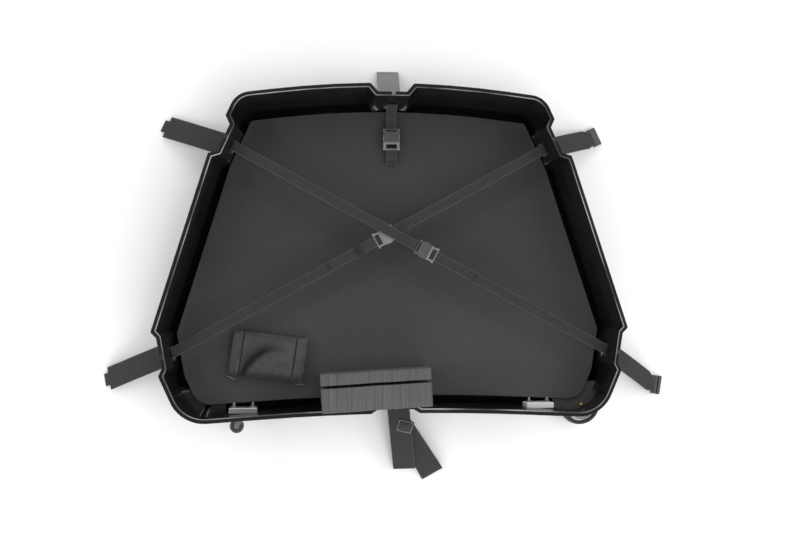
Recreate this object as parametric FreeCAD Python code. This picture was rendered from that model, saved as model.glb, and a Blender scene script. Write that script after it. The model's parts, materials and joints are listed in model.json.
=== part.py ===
import FreeCAD, Part
import math
import os

# Open half of a hard bike travel case, lying on its back, with its fittings.
# X runs along the length, Y from the wheel edge to the top edge, Z up out of the tray.
# The origin is the middle of the flat outer floor. All sizes are millimetres.

V = FreeCAD.Vector

# Rim outline (outer edge of the flange), right half; each row is x, y, corner radius.
TOP_APEX_Y = 434.3
TOP_ARCH_R = 2300.0
UPPER_CORNER = (381.5, 386.2)
UPPER_CORNER_R = 55.0
SHOULDER = (449.5, 237.0)
SHOULDER_R = 200.0
WAIST = (583.0, -192.0)
WAIST_R = 25.0
KNEE = (564.5, -297.0)
KNEE_R = 80.0
LOWER_CORNER = (512.0, -413.8)
LOWER_CORNER_R = 90.0
BOTTOM_APEX_Y = -384.6
BOTTOM_ARCH_R = 5789.0

# Shell section.
RIM_Z = 135.0
WALL = 4.0
FLANGE_W = 8.0
FLANGE_T = 6.0
LIP_W = 3.0
LIP_H = 4.0
SIDE_DRAFT = 10.0
BOTTOM_DRAFT = 3.0
CORNER_DRAFT = 6.5
FLOOR_ROUND = 24.0
ROUND_STEPS = 5
ARC_STEP = 7.0
ARCH_STEPS = 8

# Strap recesses: mouth half width, floor half width, depth, notch offset along the edge.
RECESS_TOP = (54.5, 36.0, 21.5, -3.0)
RECESS_UPPER = (51.0, 35.0, 18.0, 5.0)
RECESS_LOWER = (53.0, 37.0, 11.0, -10.0)
RECESS_BOTTOM = (59.0, 44.0, 9.5, 0.0)
NOTCH_W = 9.6

# Wheel housings in the two lower corners.
HOUSING_X = 412.0
HOUSING_Y = -328.0
HOUSING_Z = 40.0
HOUSING_R = 24.0
SHOULDER_IN = 5.0
SHOULDER_Y = -345.0

# Stiffening channels in the outer floor: distance from the middle, lower end, upper end.
CHANNEL_W = 26.0
CHANNEL_DEPTH = 1.6
CHANNELS = ((75.0, -285.0, 285.0), (215.0, -285.0, 235.0), (350.0, -215.0, 60.0))

# Floor mat.
MAT_TOP_Z = 48.0
MAT_LIFT = 0.3
MAT_INSET_SIDE = 50.0
MAT_INSET_TOP = 54.0
MAT_INSET_BOTTOM = 38.0
MAT_INSET_CORNER = 46.0
MAT_GAP = 2.0

# Strap anchors on the recess walls.
ANCHOR_Z = 62.0
BRACKET_LOW = -9.0
BRACKET_HIGH = 14.0
PLATE_T = 2.0
BAR_R = 2.5
BAR_V = -3.0
BAR_W = 8.0
EAR_T = 3.0
EAR_R = 5.5
EAR_CLEAR = 0.8
EYE_GAP = 0.08
EYE_T = 2.2
EYE_END_GAP = 0.6
RIVET_U = 9.0
RIVET_V = 8.0
RIVET_R = 2.4
RIVET_HEAD_R = 4.5
RIVET_HEAD_H = 1.8
RIVET_EDGE = 1.0
RIVET_FIT = 0.05
INNER_PLATE_HALF = 18.0
ANCHOR_SLIDE = {"top": 0.0, "upper_right": -4.0, "upper_left": 4.0,
                "lower_right": -9.0, "lower_left": 6.0, "bottom": 14.0}

# Closure straps.
STRAP_T = 3.0
STRAP_W = 56.0
RIGHT_STRAP_W = 50.0
TAB_W = 31.0
TAB_L = 13.0
TAIL_W = 52.0
TAIL_DROP = 3.3

# Flat moulded end plates of the right-hand straps: a cross rod in the strap's narrowed eye,
# two short arms and a bar with a catch groove across one face.
END_R = 2.5
END_L = 24.0
END_EYE_W = 36.0
END_SIDE_GAP = 1.0
END_BACK = 5.6
GROOVE_BACK = 8.2
GROOVE_FRONT = 17.2
GROOVE_FLOOR = 1.5
GROOVE_SIDE = {"upper_right": -1, "lower_right": 1}

# Each closure strap: width, length from the bar, sideways lean per unit length, kind of end.
STRAPS = {
    "upper_left": (STRAP_W, 177.0, -0.08, "tab"),
    "lower_left": (STRAP_W, 167.0, -0.2, "tab"),
    "upper_right": (RIGHT_STRAP_W, 145.0, 0.16, "plate"),
    "lower_right": (RIGHT_STRAP_W, 160.0, 0.43, "plate"),
    "top": (STRAP_W, 110.0, 0.0, "plain"),
    "bottom": (STRAP_W, 168.0, -0.11, "tail"),
}
TAIL_REACH = 200.0
TAIL_SKEW = -0.5

# Inner webbing and side-release buckles.
WEB_W = 25.0
WEB_T = 1.6
WEB_Z = 88.0
CROSS_LIFT = 8.0
BUCKLE_HALF = 18.0
SOCKET_L = 34.0
BUCKLE_T = 11.0
PLUG_L = 20.0
TONGUE_L = 20.0
TONGUE_HALF = 12.6
TONGUE_T = 5.6
BUCKLE_FIT = 0.4
SOCKET_BAR_L = 3.4
SOCKET_SLOT_L = 3.6
SOCKET_WINDOW = (-18.0, -6.0)
SOCKET_ROUND = 2.4
PLUG_T = 9.0
PLUG_NECK_L = 5.0
PLUG_BAR_L = 4.0
PLUG_ROUND = 2.2
PRONG_STEP = 1.6
PRONG_CUT = (3.6, 7.4)
BAR_HALF = 1.6
SLOT_SIDE_GAP = 1.0
LOOP_HALF = 2.0
LOOP_LEAD = 6.0
LOOP_BACK = 0.5
PLUG_LOOP_BACK = 2.9
UNDER_LEN = 40.0
BUCKLE_A_AT = 553.0
BUCKLE_B_AT = 477.0
TAIL_LEN = 105.0
TAIL_B_LEN = 128.0
KEEPER_L = 14.0
KEEPER_T = 2.0
KEEPER_AT = 59.0
KEEPER_SIDE_GAP = 0.6
KEEPER_GAP = 0.8
KEEPER_ROUND = 1.6

# Hold-down loop at the top.
HOLD_X = 3.0
HOLD_BUCKLE_Y = 282.0
HOLD_Z = 57.0
HOLD_BEND_Y = 338.0
HOLD_WALL_LIFT = 20.0
HOLD_REACH = 35.0
HOLD_LOW_Z = 49.2

# Big corner wheel.
WHEEL_X = 487.0
WHEEL_Y = -388.0
WHEEL_R = 52.0
TYRE_T = 11.0
WHEEL_W = 26.0
WHEEL_Z0 = 5.2
HUB_CORE_R = 12.0
HUB_RING_T = 4.5
SPOKES = 6
SPOKE_W = 7.0
AXLE_R = 5.0
AXLE_FIT = 0.06
AXLE_STUD_R = 3.0
AXLE_HEAD_R = 9.0
AXLE_HEAD_H = 3.0
SIDE_PLAY = 0.2
CAP_NUT_R = 6.2
CAP_NUT_H = 8.0
CAP_NUT_HEX_H = 4.8
CAP_NUT_ROOF = 3.0
WASHER_T = 1.5

# Caster and its mounting pads on the bottom wall.
PAD_X = 368.0
PAD_HALF = 40.0
PAD_Z0 = 34.0
PAD_Z1 = 92.0
PAD_OUT_Y = -397.0
PAD_IN_Y = -391.0
BLOCK_HALF = 34.0
BLOCK_IN_Y = -377.0
BLOCK_Z0 = 38.0
BLOCK_Z1 = 90.0
PAD_FIT = 0.3
BOLT_DX = 23.0
BOLT_Z = 64.0
BOLT_R = 3.0
BOLT_FIT = 0.1
BOLT_HEAD_R = 5.5
BOLT_HEAD_H = 1.6
BOLT_TIP_Y = -365.0
NUT_R = 5.5
NUT_H = 4.6
BOLT_WASHER_R = 6.5
PLATE_HALF = 35.0
PLATE_HALF_Z = 22.0
MOUNT_PLATE_T = 3.0
KINGPIN_R = 4.0
KINGPIN_HEAD_R = 6.0
FORK_DISC_R = 11.0
FORK_GAP = 0.5
CROWN_T = 4.5
DISC_T = 6.0
FORK_HALF_Z = 12.0
LEG_T = 2.5
CASTER_TRAIL = 16.0
CASTER_DROP = 26.0
CASTER_R = 17.0
CASTER_W = 16.0
CASTER_AXLE_R = 3.0

# Loose fittings on the mat.
BLOCK_FOAM = (268.0, 94.0)
BLOCK_FOAM_AT = (-46.0, -337.6)
BLOCK_FOAM_TURN = 2.8
BLOCK_FOAM_TOP = 148.0
BLOCK_FOAM_GROOVE = 74.0
GROOVE_W = 7.0
BACK_RIDGE_W = 28.0
FLAP_W = 17.0
FLAP_END_T = 4.0
FLAP_GAP = 0.3
BLOCK_RELIEF = 6.5
POUCH = (184.0, 116.0, 32.0)
POUCH_AT = (-308.0, -254.0)
POUCH_TURN = -8.0
POUCH_ROUND = 13.0


def save(shape, name):
    shape.exportStep("parts/" + name + ".step")


def box(x0, x1, y0, y1, z0, z1):
    return Part.makeBox(x1 - x0, y1 - y0, z1 - z0, V(x0, y0, z0))


def mirrored(shape):
    return shape.mirror(V(0, 0, 0), V(1, 0, 0))


def tan_deg(angle):
    return math.tan(math.radians(angle))


# Rim outline.
# Each corner is met by two straight edges, and every edge has its own inset.

def rim_vertices():
    right = [
        (UPPER_CORNER[0], UPPER_CORNER[1], UPPER_CORNER_R),
        (SHOULDER[0], SHOULDER[1], SHOULDER_R),
        (WAIST[0], WAIST[1], WAIST_R),
        (KNEE[0], KNEE[1], KNEE_R),
        (LOWER_CORNER[0], LOWER_CORNER[1], LOWER_CORNER_R),
    ]
    left = [(-x, y, r) for x, y, r in reversed(right)]
    top = [(0.0, TOP_APEX_Y, TOP_ARCH_R)]
    bottom = [(0.0, BOTTOM_APEX_Y, -BOTTOM_ARCH_R)]
    return top + right + bottom + left


EDGE_KINDS = ("top", "side", "side", "side", "corner", "bottom",
              "bottom", "corner", "side", "side", "side", "top")


def crossing(p, d, q, e):
    det = d[0] * e[1] - d[1] * e[0]
    s = ((q[0] - p[0]) * e[1] - (q[1] - p[1]) * e[0]) / det
    return (p[0] + s * d[0], p[1] + s * d[1])


def outline_points(insets):
    corners = rim_vertices()
    count = len(corners)
    lines = []
    for i in range(count):
        x0, y0, r0 = corners[i]
        x1, y1, r1 = corners[(i + 1) % count]
        length = math.hypot(x1 - x0, y1 - y0)
        d = ((x1 - x0) / length, (y1 - y0) / length)
        inward = (d[1], -d[0])
        gap = insets[EDGE_KINDS[i]]
        lines.append(((x0 + inward[0] * gap, y0 + inward[1] * gap), d))
    points = []
    for i in range(count):
        p, d = lines[i - 1]
        q, e = lines[i]
        x, y = crossing(p, d, q, e)
        gap = 0.5 * (insets[EDGE_KINDS[i - 1]] + insets[EDGE_KINDS[i]])
        radius = corners[i][2]
        hand = 1.0 if radius > 0 else -1.0
        radius = max(radius - gap, 12.0) if radius > 0 else gap - radius
        turn = math.acos(max(-1.0, min(1.0, d[0] * e[0] + d[1] * e[1])))
        reach = radius * math.tan(turn / 2.0)
        cx = x - d[0] * reach + hand * d[1] * radius
        cy = y - d[1] * reach - hand * d[0] * radius
        steps = max(2, int(math.ceil(math.degrees(turn) / ARC_STEP)))
        if radius > 1000.0:
            steps = ARCH_STEPS
        for k in range(steps + 1):
            angle = turn * k / steps
            nx = -hand * d[1] * math.cos(angle) + d[0] * math.sin(angle)
            ny = hand * d[0] * math.cos(angle) + d[1] * math.sin(angle)
            points.append((cx + nx * radius, cy + ny * radius))
    return points


def outline_wire(insets, z):
    loop = [V(x, y, z) for x, y in outline_points(insets)]
    loop.append(loop[0])
    return Part.makePolygon(loop)


DRAFTS = {"top": SIDE_DRAFT, "side": SIDE_DRAFT, "corner": CORNER_DRAFT, "bottom": BOTTOM_DRAFT}


def wall_inset(z, draft, skin):
    slope = math.radians(draft)
    tangent_z = FLOOR_ROUND - (FLOOR_ROUND - skin) * math.sin(slope)
    straight = FLANGE_W + (RIM_Z - z) * math.tan(slope) + skin / math.cos(slope)
    if z >= tangent_z:
        return straight
    outer_z = FLOOR_ROUND * (1.0 - math.sin(slope))
    centre = FLANGE_W + (RIM_Z - outer_z) * math.tan(slope) + FLOOR_ROUND * math.cos(slope)
    reach = (FLOOR_ROUND - skin) ** 2 - (FLOOR_ROUND - z) ** 2
    return centre - math.sqrt(max(reach, 0.0))


def skin_solid(skin, top_z):
    radius = FLOOR_ROUND - skin
    levels = [top_z]
    first = math.radians(SIDE_DRAFT)
    for k in range(ROUND_STEPS + 1):
        angle = first + (math.pi / 2.0 - first) * k / ROUND_STEPS
        levels.append(FLOOR_ROUND - radius * math.sin(angle))
    rings = []
    for z in levels:
        insets = {kind: wall_inset(z, draft, skin) for kind, draft in DRAFTS.items()}
        rings.append([V(x, y, z) for x, y in outline_points(insets)])
    faces = []
    for ring in (rings[0], rings[-1]):
        faces.append(Part.Face(Part.makePolygon(ring + [ring[0]])))
    for upper, lower in zip(rings, rings[1:]):
        count = len(upper)
        for i in range(count):
            j = (i + 1) % count
            loop = [upper[i], upper[j], lower[j], lower[i], upper[i]]
            faces.append(Part.Face(Part.makePolygon(loop)))
    solid = Part.Solid(Part.Shell(faces))
    if solid.Volume < 0:
        solid.reverse()
    return solid


def rim_slab(inset, z0, z1):
    insets = {kind: inset for kind in DRAFTS}
    face = Part.Face(outline_wire(insets, z0))
    return face.extrude(V(0, 0, z1 - z0))


# Recess frames: middle of the mouth on the rim edge, outward direction, draft of that wall.

def edge_middle(a, b):
    return ((a[0] + b[0]) / 2.0, (a[1] + b[1]) / 2.0)


def edge_outward(a, b):
    length = math.hypot(b[0] - a[0], b[1] - a[1])
    return ((a[1] - b[1]) / length, (b[0] - a[0]) / length)


UPPER_OUT = edge_outward(UPPER_CORNER, SHOULDER)
UPPER_ALONG = (UPPER_OUT[1], -UPPER_OUT[0])
UPPER_MID = (SHOULDER[0] - UPPER_ALONG[0] * (RECESS_UPPER[0] + 1.0),
             SHOULDER[1] - UPPER_ALONG[1] * (RECESS_UPPER[0] + 1.0))
LOWER_OUT = edge_outward(WAIST, KNEE)
LOWER_MID = edge_middle(WAIST, KNEE)
TOP_Y = TOP_APEX_Y - TOP_ARCH_R * (1.0 / math.cos(math.atan2(TOP_APEX_Y - UPPER_CORNER[1],
                                                             UPPER_CORNER[0])) - 1.0)
BOTTOM_Y = BOTTOM_APEX_Y - BOTTOM_ARCH_R * (1.0 / math.cos(math.atan2(BOTTOM_APEX_Y - LOWER_CORNER[1],
                                                                      LOWER_CORNER[0])) - 1.0)

RECESSES = {
    "top": ((0.0, TOP_Y), (0.0, 1.0), SIDE_DRAFT, RECESS_TOP),
    "upper_right": (UPPER_MID, UPPER_OUT, SIDE_DRAFT, RECESS_UPPER),
    "upper_left": ((-UPPER_MID[0], UPPER_MID[1]), (-UPPER_OUT[0], UPPER_OUT[1]), SIDE_DRAFT, RECESS_UPPER),
    "lower_right": (LOWER_MID, LOWER_OUT, SIDE_DRAFT, RECESS_LOWER),
    "lower_left": ((-LOWER_MID[0], LOWER_MID[1]), (-LOWER_OUT[0], LOWER_OUT[1]), SIDE_DRAFT, RECESS_LOWER),
    "bottom": ((0.0, BOTTOM_Y), (0.0, -1.0), BOTTOM_DRAFT, RECESS_BOTTOM),
}


def recess_cutter(name, grow, upright):
    mid, out, draft, size = RECESSES[name]
    mouth, floor, depth, notch = size
    run = mouth - floor
    length = math.hypot(run, depth)
    push_u = grow * depth / length
    push_n = -grow * run / length
    slope = run / depth

    def half_at(n):
        return mouth + push_u + (n - push_n) * slope

    inner_n = -depth - grow
    outer_n = 60.0
    corners = [(-half_at(inner_n), inner_n), (half_at(inner_n), inner_n),
               (half_at(outer_n), outer_n), (-half_at(outer_n), outer_n)]
    along = (-out[1], out[0])
    wires = []
    for z in (RIM_Z + 20.0, -6.0):
        shift = 0.0
        if not upright:
            shift = (RIM_Z - z) * tan_deg(draft)
        points = []
        for u, n in corners:
            x = mid[0] + along[0] * u + out[0] * (n - shift)
            y = mid[1] + along[1] * u + out[1] * (n - shift)
            points.append(V(x, y, z))
        points.append(points[0])
        wires.append(Part.makePolygon(points))
    return Part.makeLoft(wires, True, True)


def notch_cutter(name):
    mid, out, draft, size = RECESSES[name]
    mouth, floor, depth, notch = size
    along = (-out[1], out[0])
    bar = box(-NOTCH_W / 2.0, NOTCH_W / 2.0, -depth - FLANGE_W + 0.5, 40.0, RIM_Z - 30.0, RIM_Z + 10.0)
    turn = math.degrees(math.atan2(out[1], out[0])) - 90.0
    bar.rotate(V(0, 0, 0), V(0, 0, 1), turn)
    if out[0] < -0.5:
        notch = -notch
    bar.translate(V(mid[0] + along[0] * notch, mid[1] + along[1] * notch, 0))
    return bar


def housing_block(grow, z1):
    x0 = HOUSING_X + grow
    y1 = HOUSING_Y - grow
    block = box(x0, 700.0, -600.0, y1, -1.0 if grow else 0.0, z1)
    edge = [e for e in block.Edges
            if abs(e.CenterOfMass.x - x0) < 0.01 and abs(e.CenterOfMass.y - y1) < 0.01]
    return block.makeFillet(HOUSING_R - grow, edge)


# Moulded shell with flange, locating lip, recesses, wheel housings and pads.

def make_shell():
    outer = skin_solid(0.0, RIM_Z - 0.5 * FLANGE_T)
    flange = rim_slab(0.0, RIM_Z - FLANGE_T, RIM_Z)
    lip = rim_slab(FLANGE_W + WALL - LIP_W, RIM_Z - 0.5 * FLANGE_T, RIM_Z + LIP_H)
    cavity = skin_solid(WALL, RIM_Z + LIP_H + 6.0)
    for name in RECESSES:
        wall_grow = WALL / math.cos(math.radians(RECESSES[name][2]))
        outer = outer.cut(recess_cutter(name, FLANGE_W, False))
        flange = flange.cut(recess_cutter(name, 0.0, True))
        flange = flange.cut(notch_cutter(name))
        lip = lip.cut(recess_cutter(name, FLANGE_W + WALL - LIP_W, True))
        cavity = cavity.cut(recess_cutter(name, FLANGE_W + wall_grow, False))
    corner = box(HOUSING_X - WALL, 700.0, -600.0, SHOULDER_Y, HOUSING_Z - WALL, RIM_Z - 0.5 * FLANGE_T)
    shoulder = rim_slab(SHOULDER_IN, 0.0, RIM_Z).common(corner)
    corner = box(HOUSING_X, 700.0, -600.0, SHOULDER_Y - WALL, HOUSING_Z, RIM_Z - FLANGE_T)
    hollow = rim_slab(SHOULDER_IN + WALL, 0.0, RIM_Z).common(corner)
    outer = outer.fuse(shoulder).fuse(mirrored(shoulder))
    cavity = cavity.fuse(hollow).fuse(mirrored(hollow))
    skin = outer.fuse(flange).fuse(lip)
    shell = skin.cut(cavity)
    housing = housing_block(0.0, HOUSING_Z).common(outer)
    pocket = housing_block(WALL, HOUSING_Z - WALL)
    shell = shell.fuse(housing).fuse(mirrored(housing))
    shell = shell.cut(pocket).cut(mirrored(pocket))
    axle_hole = Part.makeCylinder(AXLE_STUD_R + AXLE_FIT, 30.0, V(WHEEL_X, WHEEL_Y, HOUSING_Z - 20.0))
    shell = shell.cut(axle_hole)
    pad = box(PAD_X - PAD_HALF, PAD_X + PAD_HALF, PAD_OUT_Y, PAD_IN_Y, PAD_Z0, PAD_Z1)
    seat = box(PAD_X - BLOCK_HALF - PAD_FIT, PAD_X + BLOCK_HALF + PAD_FIT, PAD_IN_Y, PAD_IN_Y + 14.0,
               BLOCK_Z0 - PAD_FIT, BLOCK_Z1 + PAD_FIT)
    for flip in (False, True):
        add = mirrored(pad) if flip else pad
        take = mirrored(seat) if flip else seat
        shell = shell.fuse(add).cut(take)
        side = -1.0 if flip else 1.0
        for dx in (-BOLT_DX, BOLT_DX):
            hole = Part.makeCylinder(BOLT_R + BOLT_FIT, 40.0, V(side * PAD_X + dx, PAD_OUT_Y - 10.0, BOLT_Z),
                                     V(0, 1, 0))
            shell = shell.cut(hole)
    for name in RECESSES:
        for hole in rivet_holes(name):
            shell = shell.cut(hole)
    for channel in floor_channels():
        shell = shell.cut(channel)
    return shell.removeSplitter()


def floor_channels():
    cuts = []
    radius = CHANNEL_W / 2.0
    for x, low, high in CHANNELS:
        bar = box(x - radius, x + radius, low, high, -1.0, CHANNEL_DEPTH)
        for y in (low, high):
            bar = bar.fuse(Part.makeCylinder(radius, CHANNEL_DEPTH + 1.0, V(x, y, -1.0)))
        bar = bar.removeSplitter()
        cuts.append(bar)
        cuts.append(mirrored(bar))
    return cuts


# Anchor frame on a recess wall: u along the edge, v up the wall, w out of the wall.

def anchor_frame(name):
    mid, out, draft, size = RECESSES[name]
    slope = math.radians(draft)
    depth = size[2] + FLANGE_W + (RIM_Z - ANCHOR_Z) * math.tan(slope)
    slide = ANCHOR_SLIDE[name]
    eu = V(-out[1], out[0], 0)
    ev = V(out[0] * math.sin(slope), out[1] * math.sin(slope), math.cos(slope))
    en = V(out[0] * math.cos(slope), out[1] * math.cos(slope), -math.sin(slope))
    at = V(mid[0] - out[0] * depth, mid[1] - out[1] * depth, ANCHOR_Z) + eu * slide
    return FreeCAD.Matrix(eu.x, ev.x, en.x, at.x, eu.y, ev.y, en.y, at.y, eu.z, ev.z, en.z, at.z, 0, 0, 0, 1)


def placed(shape, name):
    moved = shape.copy()
    moved.Placement = FreeCAD.Placement(anchor_frame(name)).multiply(moved.Placement)
    return moved


def rod_u(radius, half, v, w):
    return Part.makeCylinder(radius, 2.0 * half, V(-half, v, w), V(1, 0, 0))


def rod_w(radius, u, v, w0, w1):
    return Part.makeCylinder(radius, w1 - w0, V(u, v, w0), V(0, 0, 1))


def rivet_holes(name):
    holes = []
    for u in (-RIVET_U, RIVET_U):
        holes.append(placed(rod_w(RIVET_R + RIVET_FIT, u, RIVET_V, -WALL - 3.0, 3.0), name))
    return holes


def make_bracket(name, strap_w):
    ear_in = strap_w / 2.0 + EYE_END_GAP
    plate = box(-ear_in - EAR_T, ear_in + EAR_T, BRACKET_LOW, BRACKET_HIGH, 0.0, PLATE_T)
    body = plate
    for side in (-1, 1):
        u0 = min(side * ear_in, side * (ear_in + EAR_T))
        ear = box(u0, u0 + EAR_T, BAR_V - EAR_R, BAR_V + EAR_R, PLATE_T - 0.5, BAR_W)
        tip = Part.makeCylinder(EAR_R, EAR_T, V(u0, BAR_V, BAR_W), V(1, 0, 0))
        body = body.fuse(ear).fuse(tip)
    body = body.fuse(rod_u(BAR_R, ear_in + 1.0, BAR_V, BAR_W))
    for u in (-RIVET_U, RIVET_U):
        body = body.cut(rod_w(RIVET_R + RIVET_FIT, u, RIVET_V, -1.0, PLATE_T + 1.0))
    return placed(body.removeSplitter(), name)


def stack_depth(name):
    webbing = 0.0 if name == "bottom" else WEB_T
    return WALL + webbing


def make_inner_plate(name):
    w1 = -stack_depth(name)
    plate = box(-INNER_PLATE_HALF, INNER_PLATE_HALF, RIVET_V - 8.0, RIVET_V + 8.0, w1 - PLATE_T, w1)
    edges = [e for e in plate.Edges if abs(e.CenterOfMass.z - (w1 - PLATE_T / 2.0)) < 0.01]
    plate = plate.makeFillet(4.0, edges)
    for u in (-RIVET_U, RIVET_U):
        plate = plate.cut(rod_w(RIVET_R + RIVET_FIT, u, RIVET_V, w1 - PLATE_T - 1.0, w1 + 1.0))
    return placed(plate, name)


def make_rivets(name):
    w1 = -stack_depth(name) - PLATE_T
    pair = []
    for u in (-RIVET_U, RIVET_U):
        shank = rod_w(RIVET_R, u, RIVET_V, w1, PLATE_T)
        head = rod_w(RIVET_HEAD_R, u, RIVET_V, PLATE_T, PLATE_T + RIVET_HEAD_H)
        crown = [e for e in head.Edges if e.CenterOfMass.z > PLATE_T + RIVET_HEAD_H - 0.01]
        head = head.makeChamfer(RIVET_EDGE, crown)
        tail = rod_w(RIVET_HEAD_R, u, RIVET_V, w1 - RIVET_HEAD_H, w1)
        crown = [e for e in tail.Edges if e.CenterOfMass.z < w1 - RIVET_HEAD_H + 0.01]
        tail = tail.makeChamfer(RIVET_EDGE, crown)
        pair.append(shank.fuse(head).fuse(tail).removeSplitter())
    return placed(Part.makeCompound(pair), name)


# Closure strap: an eye round the anchor bar and a flat strip that runs down to the floor.
# Strip frame: u along the bar, r out along the strip, s square to the strip.

def bar_point(name):
    return anchor_frame(name).multVec(V(0, BAR_V, BAR_W))


def strap_droop(name):
    height = bar_point(name).z
    width, reach, skew, kind = STRAPS[name]
    under = STRAP_T / 2.0
    if kind == "tab":
        reach = reach + TAB_L
    if kind == "plate":
        return math.asin((height - END_R) / (reach + END_L))
    if kind == "tail":
        reach = TAIL_REACH
        under = STRAP_T / 2.0 + TAIL_DROP
    angle = 0.0
    for step in range(40):
        angle = math.asin((height - under * math.cos(angle)) / reach)
    return angle


def strap_matrix(name):
    mid, out, draft, size = RECESSES[name]
    droop = strap_droop(name)
    eu = V(out[1], -out[0], 0)
    er = V(out[0] * math.cos(droop), out[1] * math.cos(droop), -math.sin(droop))
    es = eu.cross(er)
    at = bar_point(name)
    return FreeCAD.Matrix(eu.x, er.x, es.x, at.x, eu.y, er.y, es.y, at.y, eu.z, er.z, es.z, at.z, 0, 0, 0, 1)


def in_strap(shape, name):
    moved = shape.copy()
    moved.Placement = FreeCAD.Placement(strap_matrix(name)).multiply(moved.Placement)
    return moved


def strip(points, s0, s1):
    loop = [V(u, r, s0) for u, r in points]
    loop.append(loop[0])
    return Part.Face(Part.makePolygon(loop)).extrude(V(0, 0, s1 - s0))


# The strip runs square past the bracket ears, then leans sideways.

def lean(skew, r):
    return skew * max(r - EAR_R - EAR_CLEAR, 0.0)


def skewed(half, r0, r1, skew):
    a = lean(skew, r0)
    b = lean(skew, r1)
    return [(-half + a, r0), (half + a, r0), (half + b, r1), (-half + b, r1)]


def make_strap(name):
    width, length, skew, kind = STRAPS[name]
    half = width / 2.0
    eye_r = BAR_R + EYE_GAP + EYE_T
    root = EAR_R + EAR_CLEAR
    low = -STRAP_T / 2.0
    high = STRAP_T / 2.0
    body = strip(skewed(half, 0.0, root, skew), low, high)
    end = length
    if kind == "plate":
        end = length - END_R - EYE_GAP - 0.4 * EYE_T
    body = body.fuse(strip(skewed(half, root, end, skew), low, high))
    if kind == "tab":
        body = body.fuse(strip(skewed(TAB_W / 2.0, length - 1.0, length + TAB_L, skew), low, high))
    body = body.fuse(rod_u(eye_r, half, 0.0, 0.0))
    if kind == "plate":
        loop = rod_u(END_R + EYE_GAP + EYE_T, END_EYE_W / 2.0, length, 0.0)
        loop.translate(V(lean(skew, length), 0, 0))
        body = body.fuse(loop)
        bore = rod_u(END_R + EYE_GAP, half + 5.0, length, 0.0)
        bore.translate(V(lean(skew, length), 0, 0))
        body = body.cut(bore)
    body = body.cut(rod_u(BAR_R + EYE_GAP, half + 5.0, 0.0, 0.0))
    return in_strap(body.removeSplitter(), name)


def make_bottom_tail():
    name = "bottom"
    skew = STRAPS[name][2]
    start = 34.0
    half = TAIL_W / 2.0
    s1 = -STRAP_T / 2.0 - (TAIL_DROP - STRAP_T)
    lead = lean(skew, start)
    swing = lead + TAIL_SKEW * (TAIL_REACH - start) - 4.0
    points = [(-half + lead, start), (half + lead, start), (half + swing, TAIL_REACH),
              (-half + swing, TAIL_REACH - 30.0)]
    low = strip(points, s1 - STRAP_T, s1)
    seam = strip(skewed(half - 4.0, start + 3.0, start + 11.0, skew), s1 - 0.2, -STRAP_T / 2.0)
    return in_strap(low.fuse(seam).removeSplitter(), name)


def make_end_plate(name):
    width, length, skew, kind = STRAPS[name]
    half = END_EYE_W / 2.0 + END_SIDE_GAP + END_R
    body = rod_u(END_R, half, 0.0, 0.0)
    body = body.fuse(rod_u(END_R, half, END_L, 0.0))
    for side in (-1, 1):
        body = body.fuse(Part.makeCylinder(END_R, END_L, V(side * half, 0, 0), V(0, 1, 0)))
        body = body.fuse(Part.makeSphere(END_R, V(side * half, 0, 0)))
        body = body.fuse(Part.makeSphere(END_R, V(side * half, END_L, 0)))
    body = body.fuse(box(-half, half, END_BACK, END_L, -END_R, END_R))
    floor = -END_R + GROOVE_FLOOR
    groove = box(-2.0 * half, 2.0 * half, GROOVE_BACK, GROOVE_FRONT, floor, 2.0 * END_R)
    if GROOVE_SIDE[name] < 0:
        groove = box(-2.0 * half, 2.0 * half, GROOVE_BACK, GROOVE_FRONT, -2.0 * END_R, -floor)
    body = body.removeSplitter().cut(groove)
    body.translate(V(lean(skew, length), length, 0))
    return in_strap(body.removeSplitter(), name)


# Inner webbing: two crossing straps, each in two halves with a side-release buckle.
# Buckle frame: p along the strap from socket to plug, q across it, s up.

def inner_point(name, lift):
    return anchor_frame(name).multVec(V(0, RIVET_V + lift, -WALL - WEB_T / 2.0))


def make_tab(name, top_z):
    frame = anchor_frame(name)
    foot = frame.multVec(V(0, RIVET_V, -WALL))
    slope = math.cos(math.radians(RECESSES[name][2]))
    rise = (top_z - foot.z) / slope
    tab = box(-WEB_W / 2.0, WEB_W / 2.0, RIVET_V - 8.0, RIVET_V + rise, -WALL - WEB_T, -WALL)
    for u in (-RIVET_U, RIVET_U):
        tab = tab.cut(rod_w(RIVET_R + RIVET_FIT, u, RIVET_V, -WALL - WEB_T - 1.0, -WALL + 1.0))
    return placed(tab, name)


def strap_line(name_a, name_b, z):
    a = inner_point(name_a, 20.0)
    b = inner_point(name_b, 20.0)
    start = V(a.x, a.y, z)
    end = V(b.x, b.y, z)
    return start, end


def line_matrix(start, end, at):
    ep = V(end.x - start.x, end.y - start.y, 0)
    ep.normalize()
    eq = V(-ep.y, ep.x, 0)
    mid = start + ep * at
    return FreeCAD.Matrix(ep.x, eq.x, 0, mid.x, ep.y, eq.y, 0, mid.y, 0, 0, 1, mid.z, 0, 0, 0, 1)


def in_line(shape, matrix):
    moved = shape.copy()
    moved.Placement = FreeCAD.Placement(matrix).multiply(moved.Placement)
    return moved


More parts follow.
